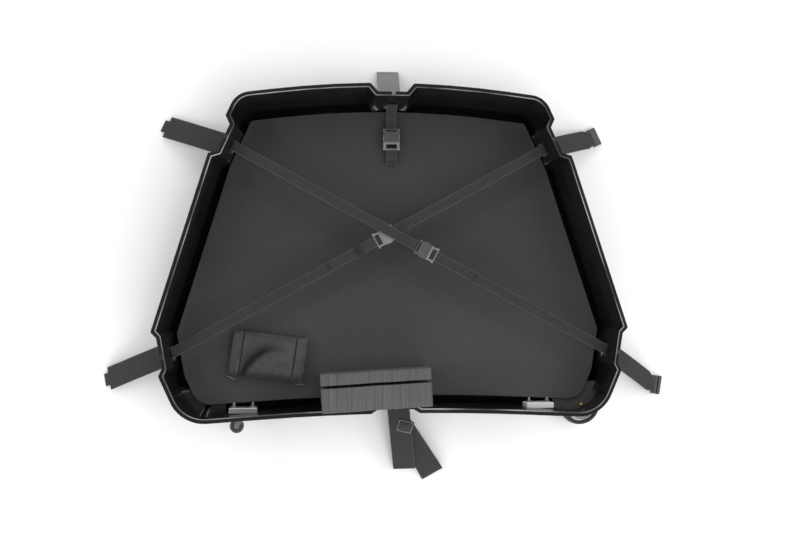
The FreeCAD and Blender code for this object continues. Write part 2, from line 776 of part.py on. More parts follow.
def make_socket():
    half_t = BUCKLE_T / 2.0
    body = box(-SOCKET_L, 0.0, -BUCKLE_HALF, BUCKLE_HALF, -half_t, half_t)
    long_edges = [e for e in body.Edges if abs(e.CenterOfMass.x + SOCKET_L / 2.0) < 0.01]
    body = body.makeFillet(SOCKET_ROUND, long_edges)
    cavity = box(-TONGUE_L - 2.0, 1.0, -TONGUE_HALF - BUCKLE_FIT, TONGUE_HALF + BUCKLE_FIT,
                 -TONGUE_T / 2.0 - BUCKLE_FIT, TONGUE_T / 2.0 + BUCKLE_FIT)
    body = body.cut(cavity)
    for side in (-1, 1):
        q0 = min(side * (TONGUE_HALF - PRONG_STEP), side * (BUCKLE_HALF + 2.0))
        reach = BUCKLE_HALF + 2.0 - TONGUE_HALF + PRONG_STEP
        body = body.cut(box(SOCKET_WINDOW[0], SOCKET_WINDOW[1], q0, q0 + reach,
                            -TONGUE_T / 2.0, TONGUE_T / 2.0))
    slot_half = WEB_W / 2.0 + SLOT_SIDE_GAP
    bar_end = -SOCKET_L + SOCKET_BAR_L
    body = body.cut(box(bar_end, bar_end + SOCKET_SLOT_L, -slot_half, slot_half, -BUCKLE_T, BUCKLE_T))
    over = box(-SOCKET_L - 1.0, bar_end + 0.6, -slot_half, slot_half, BAR_HALF, BUCKLE_T)
    under = box(-SOCKET_L - 1.0, bar_end + 0.6, -slot_half, slot_half, -BUCKLE_T, -BAR_HALF)
    return body.cut(over).cut(under).removeSplitter()


def make_plug():
    half_t = PLUG_T / 2.0
    body = box(0.0, PLUG_L, -BUCKLE_HALF, BUCKLE_HALF, -half_t, half_t)
    body = body.makeFillet(PLUG_ROUND, [e for e in body.Edges if abs(e.CenterOfMass.x - PLUG_L / 2.0) < 0.01])
    slot_half = WEB_W / 2.0 + SLOT_SIDE_GAP
    body = body.cut(box(PLUG_NECK_L, PLUG_L + 1.0, -slot_half, slot_half, -PLUG_T, PLUG_T))
    body = body.fuse(box(PLUG_L - PLUG_BAR_L, PLUG_L, -slot_half - 1.0, slot_half + 1.0, -BAR_HALF, BAR_HALF))
    narrow = TONGUE_HALF - PRONG_STEP
    tongue = box(-TONGUE_L, 1.0, -narrow, narrow, -TONGUE_T / 2.0, TONGUE_T / 2.0)
    barb = box(SOCKET_WINDOW[0] + 1.0, SOCKET_WINDOW[1] - 1.0, -TONGUE_HALF, TONGUE_HALF,
               -TONGUE_T / 2.0, TONGUE_T / 2.0)
    tongue = tongue.fuse(barb)
    for side in (-1, 1):
        q0 = min(side * PRONG_CUT[0], side * PRONG_CUT[1])
        gap = PRONG_CUT[1] - PRONG_CUT[0]
        tongue = tongue.cut(box(-TONGUE_L - 1.0, -3.0, q0, q0 + gap, -TONGUE_T, TONGUE_T))
    return body.fuse(tongue).removeSplitter()


def make_socket_loop():
    far = -SOCKET_L - LOOP_LEAD
    near = -SOCKET_L + SOCKET_BAR_L + SOCKET_SLOT_L - LOOP_BACK
    high = LOOP_HALF + WEB_T
    outer = box(far, near, -WEB_W / 2.0, WEB_W / 2.0, -high, high)
    return outer.cut(box(far + WEB_T, near - WEB_T, -WEB_W, WEB_W, -LOOP_HALF, LOOP_HALF))


def make_plug_loop(tail_len, under_len):
    near = PLUG_L - PLUG_BAR_L - PLUG_LOOP_BACK - WEB_T
    high = LOOP_HALF + WEB_T
    wall = box(near, near + WEB_T, -WEB_W / 2.0, WEB_W / 2.0, -high, high)
    under = box(near, PLUG_L + under_len, -WEB_W / 2.0, WEB_W / 2.0, -high, -LOOP_HALF)
    tail = box(near, PLUG_L + tail_len, -WEB_W / 2.0, WEB_W / 2.0, LOOP_HALF, high)
    return wall.fuse(under).fuse(tail)


def run_to_wall(start_p, matrix, name, z):
    # flat run from the buckle to the recess wall, cut along the wall
    frame = anchor_frame(name)
    foot = frame.multVec(V(0, 0, -WALL - WEB_T))
    mid, out, draft, size = RECESSES[name]
    slope = math.tan(math.radians(draft))
    lift = z - foot.z
    wall = V(foot.x + out[0] * slope * lift, foot.y + out[1] * slope * lift, z)
    points = []
    for q in (-WEB_W / 2.0, WEB_W / 2.0):
        near = matrix.multVec(V(start_p, q, 0))
        ray = matrix.multVec(V(start_p + 1.0, q, 0)) - near
        reach = (wall - near).dot(V(out[0], out[1], 0)) / ray.dot(V(out[0], out[1], 0))
        points.append((V(near.x, near.y, z), V(near.x + ray.x * reach, near.y + ray.y * reach, z)))
    loop = [points[0][0], points[0][1], points[1][1], points[1][0], points[0][0]]
    face = Part.Face(Part.makePolygon([V(p.x, p.y, z - WEB_T / 2.0) for p in loop]))
    return face.extrude(V(0, 0, WEB_T))


def make_cross_strap(wall_a, wall_b, z, buckle_at, tail_len):
    start, end = strap_line(wall_a, wall_b, z)
    matrix = line_matrix(start, end, buckle_at)
    socket = in_line(make_socket(), matrix)
    plug = in_line(make_plug(), matrix)
    a_half = in_line(make_socket_loop(), matrix)
    a_half = a_half.fuse(run_to_wall(-SOCKET_L - LOOP_LEAD + 1.0, matrix, wall_a, z))
    a_half = a_half.fuse(make_tab(wall_a, z + WEB_T / 2.0))
    under_z = z - LOOP_HALF - WEB_T / 2.0
    b_half = in_line(make_plug_loop(tail_len, UNDER_LEN), matrix)
    b_half = b_half.fuse(run_to_wall(PLUG_L + UNDER_LEN - 10.0, matrix, wall_b, under_z))
    b_half = b_half.fuse(make_tab(wall_b, under_z + WEB_T / 2.0))
    return socket, plug, a_half.removeSplitter(), b_half.removeSplitter(), matrix


def make_keeper(matrix, at):
    half_q = WEB_W / 2.0 + KEEPER_SIDE_GAP
    half_s = LOOP_HALF + WEB_T + KEEPER_GAP
    wide = half_q + KEEPER_T
    high = half_s + KEEPER_T
    body = box(at, at + KEEPER_L, -wide, wide, -high, high)
    long_edges = [e for e in body.Edges if abs(e.CenterOfMass.x - at - KEEPER_L / 2.0) < 0.01]
    body = body.makeFillet(KEEPER_ROUND, long_edges)
    body = body.cut(box(at - 1.0, at + KEEPER_L + 1.0, -half_q, half_q, -half_s, half_s))
    return in_line(body, matrix)


# Hold-down loop at the top: runs down on to the mat, through a buckle and back underneath.

def hold_matrix():
    return FreeCAD.Matrix(0, 1, 0, HOLD_X, -1, 0, 0, HOLD_BUCKLE_Y, 0, 0, 1, HOLD_Z, 0, 0, 0, 1)


def side_strip(profile, x0, x1):
    loop = [V(x0, y, z) for y, z in profile]
    loop.append(loop[0])
    return Part.Face(Part.makePolygon(loop)).extrude(V(x1 - x0, 0, 0))


def ribbon(path, thick):
    upper = []
    lower = []
    count = len(path)
    for i in range(count):
        y0, z0 = path[max(i - 1, 0)]
        y1, z1 = path[min(i + 1, count - 1)]
        length = math.hypot(y1 - y0, z1 - z0)
        ny = -(z1 - z0) / length
        nz = (y1 - y0) / length
        y, z = path[i]
        upper.append((y + ny * thick / 2.0, z + nz * thick / 2.0))
        lower.append((y - ny * thick / 2.0, z - nz * thick / 2.0))
    return upper + list(reversed(lower))


def make_hold_down():
    matrix = hold_matrix()
    socket = in_line(make_socket(), matrix)
    plug = in_line(make_plug(), matrix)
    wall = inner_point("top", HOLD_WALL_LIFT)
    x0 = HOLD_X - WEB_W / 2.0
    x1 = HOLD_X + WEB_W / 2.0
    loop_y = HOLD_BUCKLE_Y + SOCKET_L + LOOP_LEAD - 1.0
    down = [(wall.y, wall.z), (HOLD_BEND_Y + 6.0, HOLD_Z + 2.6), (HOLD_BEND_Y, HOLD_Z), (loop_y, HOLD_Z)]
    upper = in_line(make_socket_loop(), matrix)
    upper = upper.fuse(side_strip(ribbon(down, WEB_T), x0, x1))
    upper = upper.fuse(make_tab("top", wall.z + 0.4))
    end_y = HOLD_BUCKLE_Y - PLUG_L - HOLD_REACH
    under_z = HOLD_LOW_Z - WEB_T / 2.0
    bend_r = (HOLD_Z - LOOP_HALF - under_z) / 2.0
    bend = Part.makeCylinder(bend_r, WEB_W, V(x0, end_y, under_z + bend_r), V(1, 0, 0))
    bend = bend.cut(Part.makeCylinder(bend_r - WEB_T, WEB_W, V(x0, end_y, under_z + bend_r), V(1, 0, 0)))
    bend = bend.cut(box(x0 - 1.0, x1 + 1.0, end_y, end_y + 20.0, under_z - 5.0, HOLD_Z + 5.0))
    foot_v = (HOLD_LOW_Z - ANCHOR_Z) / math.cos(math.radians(SIDE_DRAFT)) - 1.4
    foot = box(-x1, -x0, foot_v, RIVET_V - 8.3, -WALL - WEB_T, -WALL)
    foot_y = anchor_frame("top").multVec(V(0, foot_v, -WALL - WEB_T / 2.0)).y
    lower = in_line(make_plug_loop(HOLD_REACH - 4.0, HOLD_REACH), matrix)
    lower = lower.fuse(bend).fuse(placed(foot, "top"))
    lower = lower.fuse(box(x0, x1, end_y, foot_y, under_z, under_z + WEB_T))
    return socket, plug, upper.removeSplitter(), lower.removeSplitter()


# Big corner wheel on a shoulder axle through the housing ceiling.

def ring_solid(profile, x, y):
    loop = [V(r, 0, z) for r, z in profile]
    loop.append(loop[0])
    solid = Part.Face(Part.makePolygon(loop)).revolve(V(0, 0, 0), V(0, 0, 1), 360.0)
    solid.translate(V(x, y, 0))
    return solid


def make_tyre():
    z0 = WHEEL_Z0
    z1 = WHEEL_Z0 + WHEEL_W
    inner = WHEEL_R - TYRE_T
    profile = [(inner, z0 + 2.5), (inner + 5.0, z0), (WHEEL_R - 5.0, z0), (WHEEL_R - 1.4, z0 + 3.6),
               (WHEEL_R, z0 + 9.0), (WHEEL_R, z1 - 9.0), (WHEEL_R - 1.4, z1 - 3.6), (WHEEL_R - 5.0, z1),
               (inner + 5.0, z1), (inner, z1 - 2.5)]
    return ring_solid(profile, WHEEL_X, WHEEL_Y)


def make_hub():
    z0 = WHEEL_Z0
    z1 = WHEEL_Z0 + WHEEL_W
    outer = WHEEL_R - TYRE_T
    ring = ring_solid([(outer - HUB_RING_T, z0 + 2.5), (outer, z0 + 2.5), (outer, z1 - 2.5),
                       (outer - HUB_RING_T, z1 - 2.5)], WHEEL_X, WHEEL_Y)
    core = Part.makeCylinder(HUB_CORE_R, WHEEL_W, V(WHEEL_X, WHEEL_Y, z0))
    body = ring.fuse(core)
    for k in range(SPOKES):
        spoke = box(HUB_CORE_R - 2.0, outer - HUB_RING_T + 2.0, -SPOKE_W / 2.0, SPOKE_W / 2.0,
                    z0 + 6.0, z1 - 6.0)
        spoke.rotate(V(0, 0, 0), V(0, 0, 1), 360.0 * k / SPOKES)
        spoke.translate(V(WHEEL_X, WHEEL_Y, 0))
        body = body.fuse(spoke)
    bore = Part.makeCylinder(AXLE_R + AXLE_FIT, WHEEL_W + 10.0, V(WHEEL_X, WHEEL_Y, z0 - 5.0))
    return body.cut(bore).removeSplitter()


def make_axle():
    head_z = WHEEL_Z0 - SIDE_PLAY - AXLE_HEAD_H
    head = Part.makeCylinder(AXLE_HEAD_R, AXLE_HEAD_H, V(WHEEL_X, WHEEL_Y, head_z))
    head = head.makeChamfer(1.0, [e for e in head.Edges if e.CenterOfMass.z < head_z + 0.01])
    top = HOUSING_Z + CAP_NUT_H - CAP_NUT_ROOF - 0.4
    shaft = Part.makeCylinder(AXLE_R, HOUSING_Z - WALL - head_z - AXLE_HEAD_H,
                              V(WHEEL_X, WHEEL_Y, head_z + AXLE_HEAD_H))
    stud_z = HOUSING_Z - WALL
    shaft = shaft.fuse(Part.makeCylinder(AXLE_STUD_R, top - stud_z, V(WHEEL_X, WHEEL_Y, stud_z)))
    socket = Part.makeCylinder(3.0, 1.6, V(WHEEL_X, WHEEL_Y, head_z))
    return head.fuse(shaft).cut(socket).removeSplitter()


def tube(r0, r1, z0, z1, x, y):
    outer = Part.makeCylinder(r1, z1 - z0, V(x, y, z0))
    return outer.cut(Part.makeCylinder(r0, z1 - z0 + 2.0, V(x, y, z0 - 1.0)))


def make_spacer():
    z0 = WHEEL_Z0 + WHEEL_W + SIDE_PLAY
    return tube(AXLE_R + AXLE_FIT, AXLE_R + 4.0, z0, HOUSING_Z - WALL, WHEEL_X, WHEEL_Y)


def hex_prism(radius, height, at, axis):
    points = []
    for k in range(7):
        angle = math.radians(60.0 * k)
        if abs(axis.z) > 0.5:
            points.append(at + V(radius * math.cos(angle), radius * math.sin(angle), 0))
        else:
            points.append(at + V(radius * math.cos(angle), 0, radius * math.sin(angle)))
    return Part.Face(Part.makePolygon(points)).extrude(axis * height)


def make_cap_nut():
    z0 = HOUSING_Z
    z1 = HOUSING_Z + CAP_NUT_HEX_H
    z2 = HOUSING_Z + CAP_NUT_H
    nut = hex_prism(CAP_NUT_R, CAP_NUT_HEX_H, V(WHEEL_X, WHEEL_Y, z0), V(0, 0, 1))
    flat_r = CAP_NUT_R * math.cos(math.radians(30.0))
    rise = z2 - z1
    dome = ring_solid([(0.0, z1 - 1.0), (flat_r, z1 - 1.0), (flat_r, z1), (flat_r * 0.92, z1 + rise * 0.4),
                       (flat_r * 0.7, z1 + rise * 0.76), (flat_r * 0.36, z1 + rise * 0.95), (0.0, z2)],
                      WHEEL_X, WHEEL_Y)
    bore = Part.makeCylinder(AXLE_STUD_R + AXLE_FIT, CAP_NUT_H - CAP_NUT_ROOF, V(WHEEL_X, WHEEL_Y, z0))
    return nut.fuse(dome).cut(bore).removeSplitter()


# Swivel caster on the left pad, and the bare pad on the right.

def bolt_points(side):
    return [side * PAD_X - BOLT_DX, side * PAD_X + BOLT_DX]


def rod_y(radius, x, z, y0, y1):
    return Part.makeCylinder(radius, y1 - y0, V(x, y0, z), V(0, 1, 0))


PLATE_OUT_Y = PAD_OUT_Y - MOUNT_PLATE_T


def make_mount_plate(side):
    plate = box(side * PAD_X - PLATE_HALF, side * PAD_X + PLATE_HALF, PLATE_OUT_Y, PAD_OUT_Y,
                BOLT_Z - PLATE_HALF_Z, BOLT_Z + PLATE_HALF_Z)
    edges = [e for e in plate.Edges if abs(e.CenterOfMass.y - (PLATE_OUT_Y + PAD_OUT_Y) / 2.0) < 0.01]
    plate = plate.makeFillet(6.0, edges)
    for x in bolt_points(side):
        plate = plate.cut(rod_y(BOLT_R + BOLT_FIT, x, BOLT_Z, PLATE_OUT_Y - 1.0, PAD_OUT_Y + 1.0))
        plate = plate.cut(rod_y(BOLT_HEAD_R + BOLT_FIT, x, BOLT_Z, PLATE_OUT_Y - 1.0,
                                PLATE_OUT_Y + BOLT_HEAD_H + 0.2))
    return plate


def make_backing_block(side):
    middle = side * PAD_X
    block = box(middle - BLOCK_HALF, middle + BLOCK_HALF, PAD_IN_Y, BLOCK_IN_Y, BLOCK_Z0, BLOCK_Z1)
    edges = [e for e in block.Edges if abs(e.CenterOfMass.y - BLOCK_IN_Y) < 0.01]
    block = block.makeFillet(3.0, edges)
    for x in bolt_points(side):
        block = block.cut(rod_y(BOLT_R + BOLT_FIT, x, BOLT_Z, PAD_IN_Y - 1.0, BLOCK_IN_Y + 1.0))
    return block


def make_bolts(side):
    pair = []
    head_y = PLATE_OUT_Y + 0.2
    for x in bolt_points(side):
        head = rod_y(BOLT_HEAD_R, x, BOLT_Z, head_y, head_y + BOLT_HEAD_H)
        shank = rod_y(BOLT_R, x, BOLT_Z, head_y + BOLT_HEAD_H, BOLT_TIP_Y)
        tip = [e for e in shank.Edges if e.CenterOfMass.y > BOLT_TIP_Y - 0.01]
        shank = shank.makeChamfer(0.8, tip)
        slot = box(x - 3.5, x + 3.5, head_y - 1.0, head_y + 0.8, BOLT_Z - 0.7, BOLT_Z + 0.7)
        pair.append(head.fuse(shank).cut(slot).removeSplitter())
    return Part.makeCompound(pair)


def make_nuts(side):
    pair = []
    for x in bolt_points(side):
        washer = rod_y(BOLT_WASHER_R, x, BOLT_Z, BLOCK_IN_Y, BLOCK_IN_Y + WASHER_T)
        nut = hex_prism(NUT_R, NUT_H, V(x, BLOCK_IN_Y + WASHER_T, BOLT_Z), V(0, 1, 0))
        bore = rod_y(BOLT_R + BOLT_FIT, x, BOLT_Z, BLOCK_IN_Y - 1.0, BLOCK_IN_Y + WASHER_T + NUT_H + 1.0)
        pair.append(washer.fuse(nut).cut(bore).removeSplitter())
    return Part.makeCompound(pair)


CASTER_X = -PAD_X - CASTER_TRAIL
CASTER_Y = PAD_OUT_Y - CASTER_DROP
FORK_TOP_Y = PLATE_OUT_Y - FORK_GAP


def make_caster_plate():
    plate = make_mount_plate(-1.0)
    stem = rod_y(KINGPIN_R, -PAD_X, BOLT_Z, FORK_TOP_Y - DISC_T - 0.3, PLATE_OUT_Y + 0.5)
    cap = rod_y(KINGPIN_HEAD_R, -PAD_X, BOLT_Z, FORK_TOP_Y - DISC_T - 1.8, FORK_TOP_Y - DISC_T - 0.3)
    return plate.fuse(stem).fuse(cap).removeSplitter()


def make_fork():
    disc = rod_y(FORK_DISC_R, -PAD_X, BOLT_Z, FORK_TOP_Y - DISC_T, FORK_TOP_Y)
    crown = box(CASTER_X - 2.0, -PAD_X + 6.0, FORK_TOP_Y - CROWN_T, FORK_TOP_Y,
                BOLT_Z - FORK_HALF_Z, BOLT_Z + FORK_HALF_Z)
    body = disc.fuse(crown)
    for side in (-1, 1):
        z0 = BOLT_Z + min(side * FORK_HALF_Z, side * (FORK_HALF_Z - LEG_T))
        points = [V(CASTER_X - 6.0, CASTER_Y, z0), V(CASTER_X + 6.0, CASTER_Y, z0),
                  V(-PAD_X + 6.0, FORK_TOP_Y, z0), V(CASTER_X - 2.0, FORK_TOP_Y, z0),
                  V(CASTER_X - 6.0, CASTER_Y, z0)]
        leg = Part.Face(Part.makePolygon(points)).extrude(V(0, 0, LEG_T))
        foot = Part.makeCylinder(6.0, LEG_T, V(CASTER_X, CASTER_Y, z0))
        body = body.fuse(leg).fuse(foot)
    body = body.cut(rod_y(KINGPIN_R + AXLE_FIT, -PAD_X, BOLT_Z, FORK_TOP_Y - 30.0, FORK_TOP_Y + 5.0))
    pin = Part.makeCylinder(CASTER_AXLE_R + 0.02, 60.0, V(CASTER_X, CASTER_Y, BOLT_Z - 30.0))
    return body.cut(pin).removeSplitter()


def make_caster_wheel():
    z0 = BOLT_Z - CASTER_W / 2.0
    z1 = BOLT_Z + CASTER_W / 2.0
    r = CASTER_R
    bore = CASTER_AXLE_R + AXLE_FIT
    profile = [(bore, z0 - 0.6), (bore + 3.0, z0 - 0.6), (bore + 3.0, z0 + 2.0), (r - 6.0, z0 + 2.0),
               (r - 5.0, z0), (r - 2.0, z0), (r, z0 + 3.0), (r, z1 - 3.0), (r - 2.0, z1), (r - 5.0, z1),
               (r - 6.0, z1 - 2.0), (bore + 3.0, z1 - 2.0), (bore + 3.0, z1 + 0.6), (bore, z1 + 0.6)]
    return ring_solid(profile, CASTER_X, CASTER_Y)


def make_caster_axle():
    half = FORK_HALF_Z
    pin = Part.makeCylinder(CASTER_AXLE_R, 2.0 * half, V(CASTER_X, CASTER_Y, BOLT_Z - half))
    cap = Part.makeCylinder(4.6, 1.5, V(CASTER_X, CASTER_Y, BOLT_Z + half))
    foot = Part.makeCylinder(4.6, 1.5, V(CASTER_X, CASTER_Y, BOLT_Z - half - 1.5))
    return pin.fuse(cap).fuse(foot).removeSplitter()


# Soft pieces.

def make_mat():
    insets = {"top": MAT_INSET_TOP, "side": MAT_INSET_SIDE,
              "corner": MAT_INSET_CORNER, "bottom": MAT_INSET_BOTTOM}
    face = Part.Face(outline_wire(insets, WALL + MAT_LIFT))
    mat = face.extrude(V(0, 0, MAT_TOP_Z - WALL - MAT_LIFT))
    for name in RECESSES:
        mat = mat.cut(recess_cutter(name, FLANGE_W + WALL + MAT_GAP, False))
    clear = housing_block(0.0, HOUSING_Z + 0.5)
    clear.translate(V(-1.0, 1.0, 0))
    mat = mat.cut(clear).cut(mirrored(clear))
    return mat.removeSplitter()


def make_chainring_block():
    # the front flap lies over the rim, the body stands on the mat
    length, width = BLOCK_FOAM
    half = length / 2.0
    low = -width / 2.0
    high = width / 2.0
    groove1 = high - BACK_RIDGE_W
    groove0 = groove1 - GROOVE_W
    front = low + FLAP_W
    flap_z = RIM_Z + LIP_H + FLAP_GAP
    profile = [(front, MAT_TOP_Z), (high, MAT_TOP_Z), (high, BLOCK_FOAM_TOP), (groove1, BLOCK_FOAM_TOP),
               (groove1, BLOCK_FOAM_GROOVE), (groove0, BLOCK_FOAM_GROOVE), (groove0, BLOCK_FOAM_TOP),
               (front, BLOCK_FOAM_TOP), (low, flap_z + FLAP_END_T), (low, flap_z), (front, flap_z)]
    body = side_strip(profile, -half, half)
    body.rotate(V(0, 0, 0), V(0, 0, 1), BLOCK_FOAM_TURN)
    body.translate(V(BLOCK_FOAM_AT[0], BLOCK_FOAM_AT[1], 0))
    relief = recess_cutter("bottom", FLANGE_W + WALL + BLOCK_RELIEF, False)
    relief = relief.common(box(-200.0, 200.0, -500.0, 0.0, 0.0, flap_z))
    return body.cut(relief)


def make_pouch():
    length, width, height = POUCH
    body = box(-length / 2.0, length / 2.0, -width / 2.0, width / 2.0, MAT_TOP_Z, MAT_TOP_Z + height)
    edges = [e for e in body.Edges if abs(e.CenterOfMass.y) > 1.0 and abs(e.CenterOfMass.x) < 1.0]
    body = body.makeFillet(POUCH_ROUND, edges)
    body.rotate(V(0, 0, 0), V(0, 0, 1), POUCH_TURN)
    body.translate(V(POUCH_AT[0], POUCH_AT[1], 0))
    return body


os.makedirs("parts", exist_ok=True)

save(make_shell(), "shell")
save(make_mat(), "floor_mat")
save(make_chainring_block(), "chainring_block")
save(make_pouch(), "parts_pouch")

for name in RECESSES:
    strap_w = STRAPS[name][0]
    save(make_bracket(name, strap_w), "bracket_" + name)
    save(make_rivets(name), "rivets_" + name)
    save(make_inner_plate(name), "backplate_" + name)
    save(make_strap(name), "strap_" + name)
    if STRAPS[name][3] == "plate":
        save(make_end_plate(name), "end_plate_" + name)
save(make_bottom_tail(), "strap_bottom_tail")

socket_a, plug_a, web_a1, web_a2, line_a = make_cross_strap("upper_left", "lower_right", WEB_Z + CROSS_LIFT,
                                                            BUCKLE_A_AT, TAIL_LEN)
save(socket_a, "buckle_socket_a")
save(plug_a, "buckle_plug_a")
save(web_a1, "webbing_a_upper")
save(web_a2, "webbing_a_lower")
socket_b, plug_b, web_b1, web_b2, line_b = make_cross_strap("upper_right", "lower_left", WEB_Z,
                                                            BUCKLE_B_AT, TAIL_B_LEN)
save(socket_b, "buckle_socket_b")
save(plug_b, "buckle_plug_b")
save(web_b1, "webbing_b_upper")
save(web_b2, "webbing_b_lower")
save(make_keeper(line_b, KEEPER_AT), "webbing_keeper")
socket_c, plug_c, hold_upper, hold_lower = make_hold_down()
save(socket_c, "buckle_socket_top")
save(plug_c, "buckle_plug_top")
save(hold_upper, "hold_down_upper")
save(hold_lower, "hold_down_loop")

save(make_tyre(), "wheel_tyre")
save(make_hub(), "wheel_hub")
save(make_axle(), "wheel_axle")
save(make_spacer(), "wheel_spacer")
save(make_cap_nut(), "wheel_cap_nut")

save(make_caster_plate(), "caster_plate")
save(make_fork(), "caster_fork")
save(make_caster_wheel(), "caster_wheel")
save(make_caster_axle(), "caster_axle")
save(make_backing_block(-1.0), "backing_block_left")
save(make_bolts(-1.0), "bolts_left")
save(make_nuts(-1.0), "nuts_left")
save(make_mount_plate(1.0), "cover_plate_right")
save(make_backing_block(1.0), "backing_block_right")
save(make_bolts(1.0), "bolts_right")
save(make_nuts(1.0), "nuts_right")
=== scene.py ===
import bpy
import bmesh
import json
import math
from mathutils import Matrix, Vector, noise
from mathutils.bvhtree import BVHTree
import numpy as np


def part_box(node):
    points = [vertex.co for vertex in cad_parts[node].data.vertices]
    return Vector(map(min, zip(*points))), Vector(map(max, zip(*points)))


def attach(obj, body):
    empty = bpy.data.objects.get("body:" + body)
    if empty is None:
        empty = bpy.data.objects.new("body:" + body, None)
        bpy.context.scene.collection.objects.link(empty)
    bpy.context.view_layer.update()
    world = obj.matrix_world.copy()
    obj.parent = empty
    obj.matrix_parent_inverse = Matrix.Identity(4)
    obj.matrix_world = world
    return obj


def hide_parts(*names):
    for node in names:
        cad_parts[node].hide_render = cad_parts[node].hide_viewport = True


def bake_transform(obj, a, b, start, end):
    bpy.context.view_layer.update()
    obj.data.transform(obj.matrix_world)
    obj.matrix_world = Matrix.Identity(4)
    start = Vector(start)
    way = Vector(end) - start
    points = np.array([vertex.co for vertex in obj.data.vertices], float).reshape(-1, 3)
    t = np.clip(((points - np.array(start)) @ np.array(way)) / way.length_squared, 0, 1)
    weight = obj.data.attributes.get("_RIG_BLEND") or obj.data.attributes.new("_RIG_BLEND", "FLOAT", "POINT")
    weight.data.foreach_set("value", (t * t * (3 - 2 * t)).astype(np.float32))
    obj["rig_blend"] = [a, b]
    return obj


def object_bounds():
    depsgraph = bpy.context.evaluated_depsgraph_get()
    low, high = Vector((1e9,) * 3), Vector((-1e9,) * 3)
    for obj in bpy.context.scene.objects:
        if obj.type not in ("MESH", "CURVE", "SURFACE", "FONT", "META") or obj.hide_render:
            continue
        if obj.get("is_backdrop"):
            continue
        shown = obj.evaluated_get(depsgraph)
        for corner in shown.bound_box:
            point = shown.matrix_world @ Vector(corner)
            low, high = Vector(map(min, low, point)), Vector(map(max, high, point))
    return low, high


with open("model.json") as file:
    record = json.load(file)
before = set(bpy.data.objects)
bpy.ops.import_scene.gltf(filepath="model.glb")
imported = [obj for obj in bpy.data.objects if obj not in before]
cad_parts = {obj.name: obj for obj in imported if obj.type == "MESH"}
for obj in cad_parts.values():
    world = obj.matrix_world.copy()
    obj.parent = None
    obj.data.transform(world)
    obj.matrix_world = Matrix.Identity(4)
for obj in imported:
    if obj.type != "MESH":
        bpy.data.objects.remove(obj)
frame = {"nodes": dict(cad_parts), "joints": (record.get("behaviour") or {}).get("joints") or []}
nodes = frame["nodes"]
joints = {joint["name"]: joint for joint in frame["joints"]}
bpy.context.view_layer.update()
UP = Vector((0.0, 0.0, 1.0))


# Tray shell: one half of the case, moulded in glossy black plastic about 4 mm thick.
# The rim carries a flange and a thin locating lip, and the moulded edges are slightly round.

RIM_EDGE = 0.0009
RIM_LOW = 0.1285
SHARP_ANGLE = 28.0
SHELL_BLACK = (0.0075, 0.0075, 0.008)
SHELL_SCUFFED = (0.022, 0.022, 0.023)
LIP_DARK = (0.035, 0.035, 0.036)
LIP_HIGHLIGHT = (0.36, 0.36, 0.365)
LIP_TOP = 0.0012
LIP_FACING = 0.3
HOUSING_HIGHLIGHT_GREY = (0.085, 0.084, 0.082)
HOUSING_DARK = (0.035, 0.035, 0.034)
HOUSING_TOP = 0.040
HOUSING_NEAR = 0.0005
HOUSING_FACING = 0.9
MERGE = 0.00002
FLAT_ANGLE = 0.8
RIM_SHORTEST = 0.002
BROAD_SCALE = 7.0
PLAIN_SCRATCH = 10.0
SCRATCH_TURN = (0.3, 0.5, 0.7)
SCRATCH_STRETCH = (1.0, 34.0, 34.0)
SCRATCH_BAND = (0.64, 0.70)
SCRATCH_PATCHES = (0.48, 0.66)


def wire(tree, kind, sockets, **settings):
    node = tree.nodes.new(kind)
    for name, value in settings.items():
        setattr(node, name, value)
    for key, value in sockets.items():
        if isinstance(value, bpy.types.NodeSocket):
            tree.links.new(value, node.inputs[key])
        else:
            node.inputs[key].default_value = value
    return node


def blended(tree, factor, first, second):
    return wire(tree, "ShaderNodeMix", {0: factor, 6: first, 7: second}, data_type="RGBA").outputs[2]


def tint(tree, factor, dark, light):
    return blended(tree, factor, (*dark, 1.0), (*light, 1.0))


def spread(tree, value, low, high, start=0.0, stop=1.0):
    span = {"Value": value, "From Min": start, "From Max": stop, "To Min": low, "To Max": high}
    return wire(tree, "ShaderNodeMapRange", span).outputs["Result"]


def sums(tree, kind, first, second=0.0):
    return wire(tree, "ShaderNodeMath", {0: first, 1: second}, operation=kind).outputs[0]


def group(name, inputs, outputs):
    tree = bpy.data.node_groups.new(name, "ShaderNodeTree")
    for label, kind in inputs:
        tree.interface.new_socket(label, in_out="INPUT", socket_type=kind)
    for label in outputs:
        tree.interface.new_socket(label, in_out="OUTPUT", socket_type="NodeSocketFloat")
    return tree, tree.nodes.new("NodeGroupInput"), tree.nodes.new("NodeGroupOutput")


def surface(name, colour, rough, metal=0.0):
    made = bpy.data.materials.new(name)
    made.use_nodes = True
    shader = made.node_tree.nodes["Principled BSDF"]
    shader.inputs["Base Color"].default_value = (*colour, 1.0)
    shader.inputs["Roughness"].default_value = rough
    shader.inputs["Metallic"].default_value = metal
    return made, made.node_tree, shader


def relief(tree, shader, height, depth):
    bump = wire(tree, "ShaderNodeBump", {"Height": height, "Distance": depth, "Strength": 1.0})
    tree.links.new(bump.outputs["Normal"], shader.inputs["Normal"])


def cloudy(tree, place, scale, detail):
    node = wire(tree, "ShaderNodeTexNoise", {"Vector": place, "Scale": scale, "Detail": detail})
    return node.outputs["Fac"]


def placed(tree, effect, values):
    place = wire(tree, "ShaderNodeTexCoord", {})
    return wire(tree, "ShaderNodeGroup", {"Vector": place.outputs["Object"], **values}, node_tree=effect)


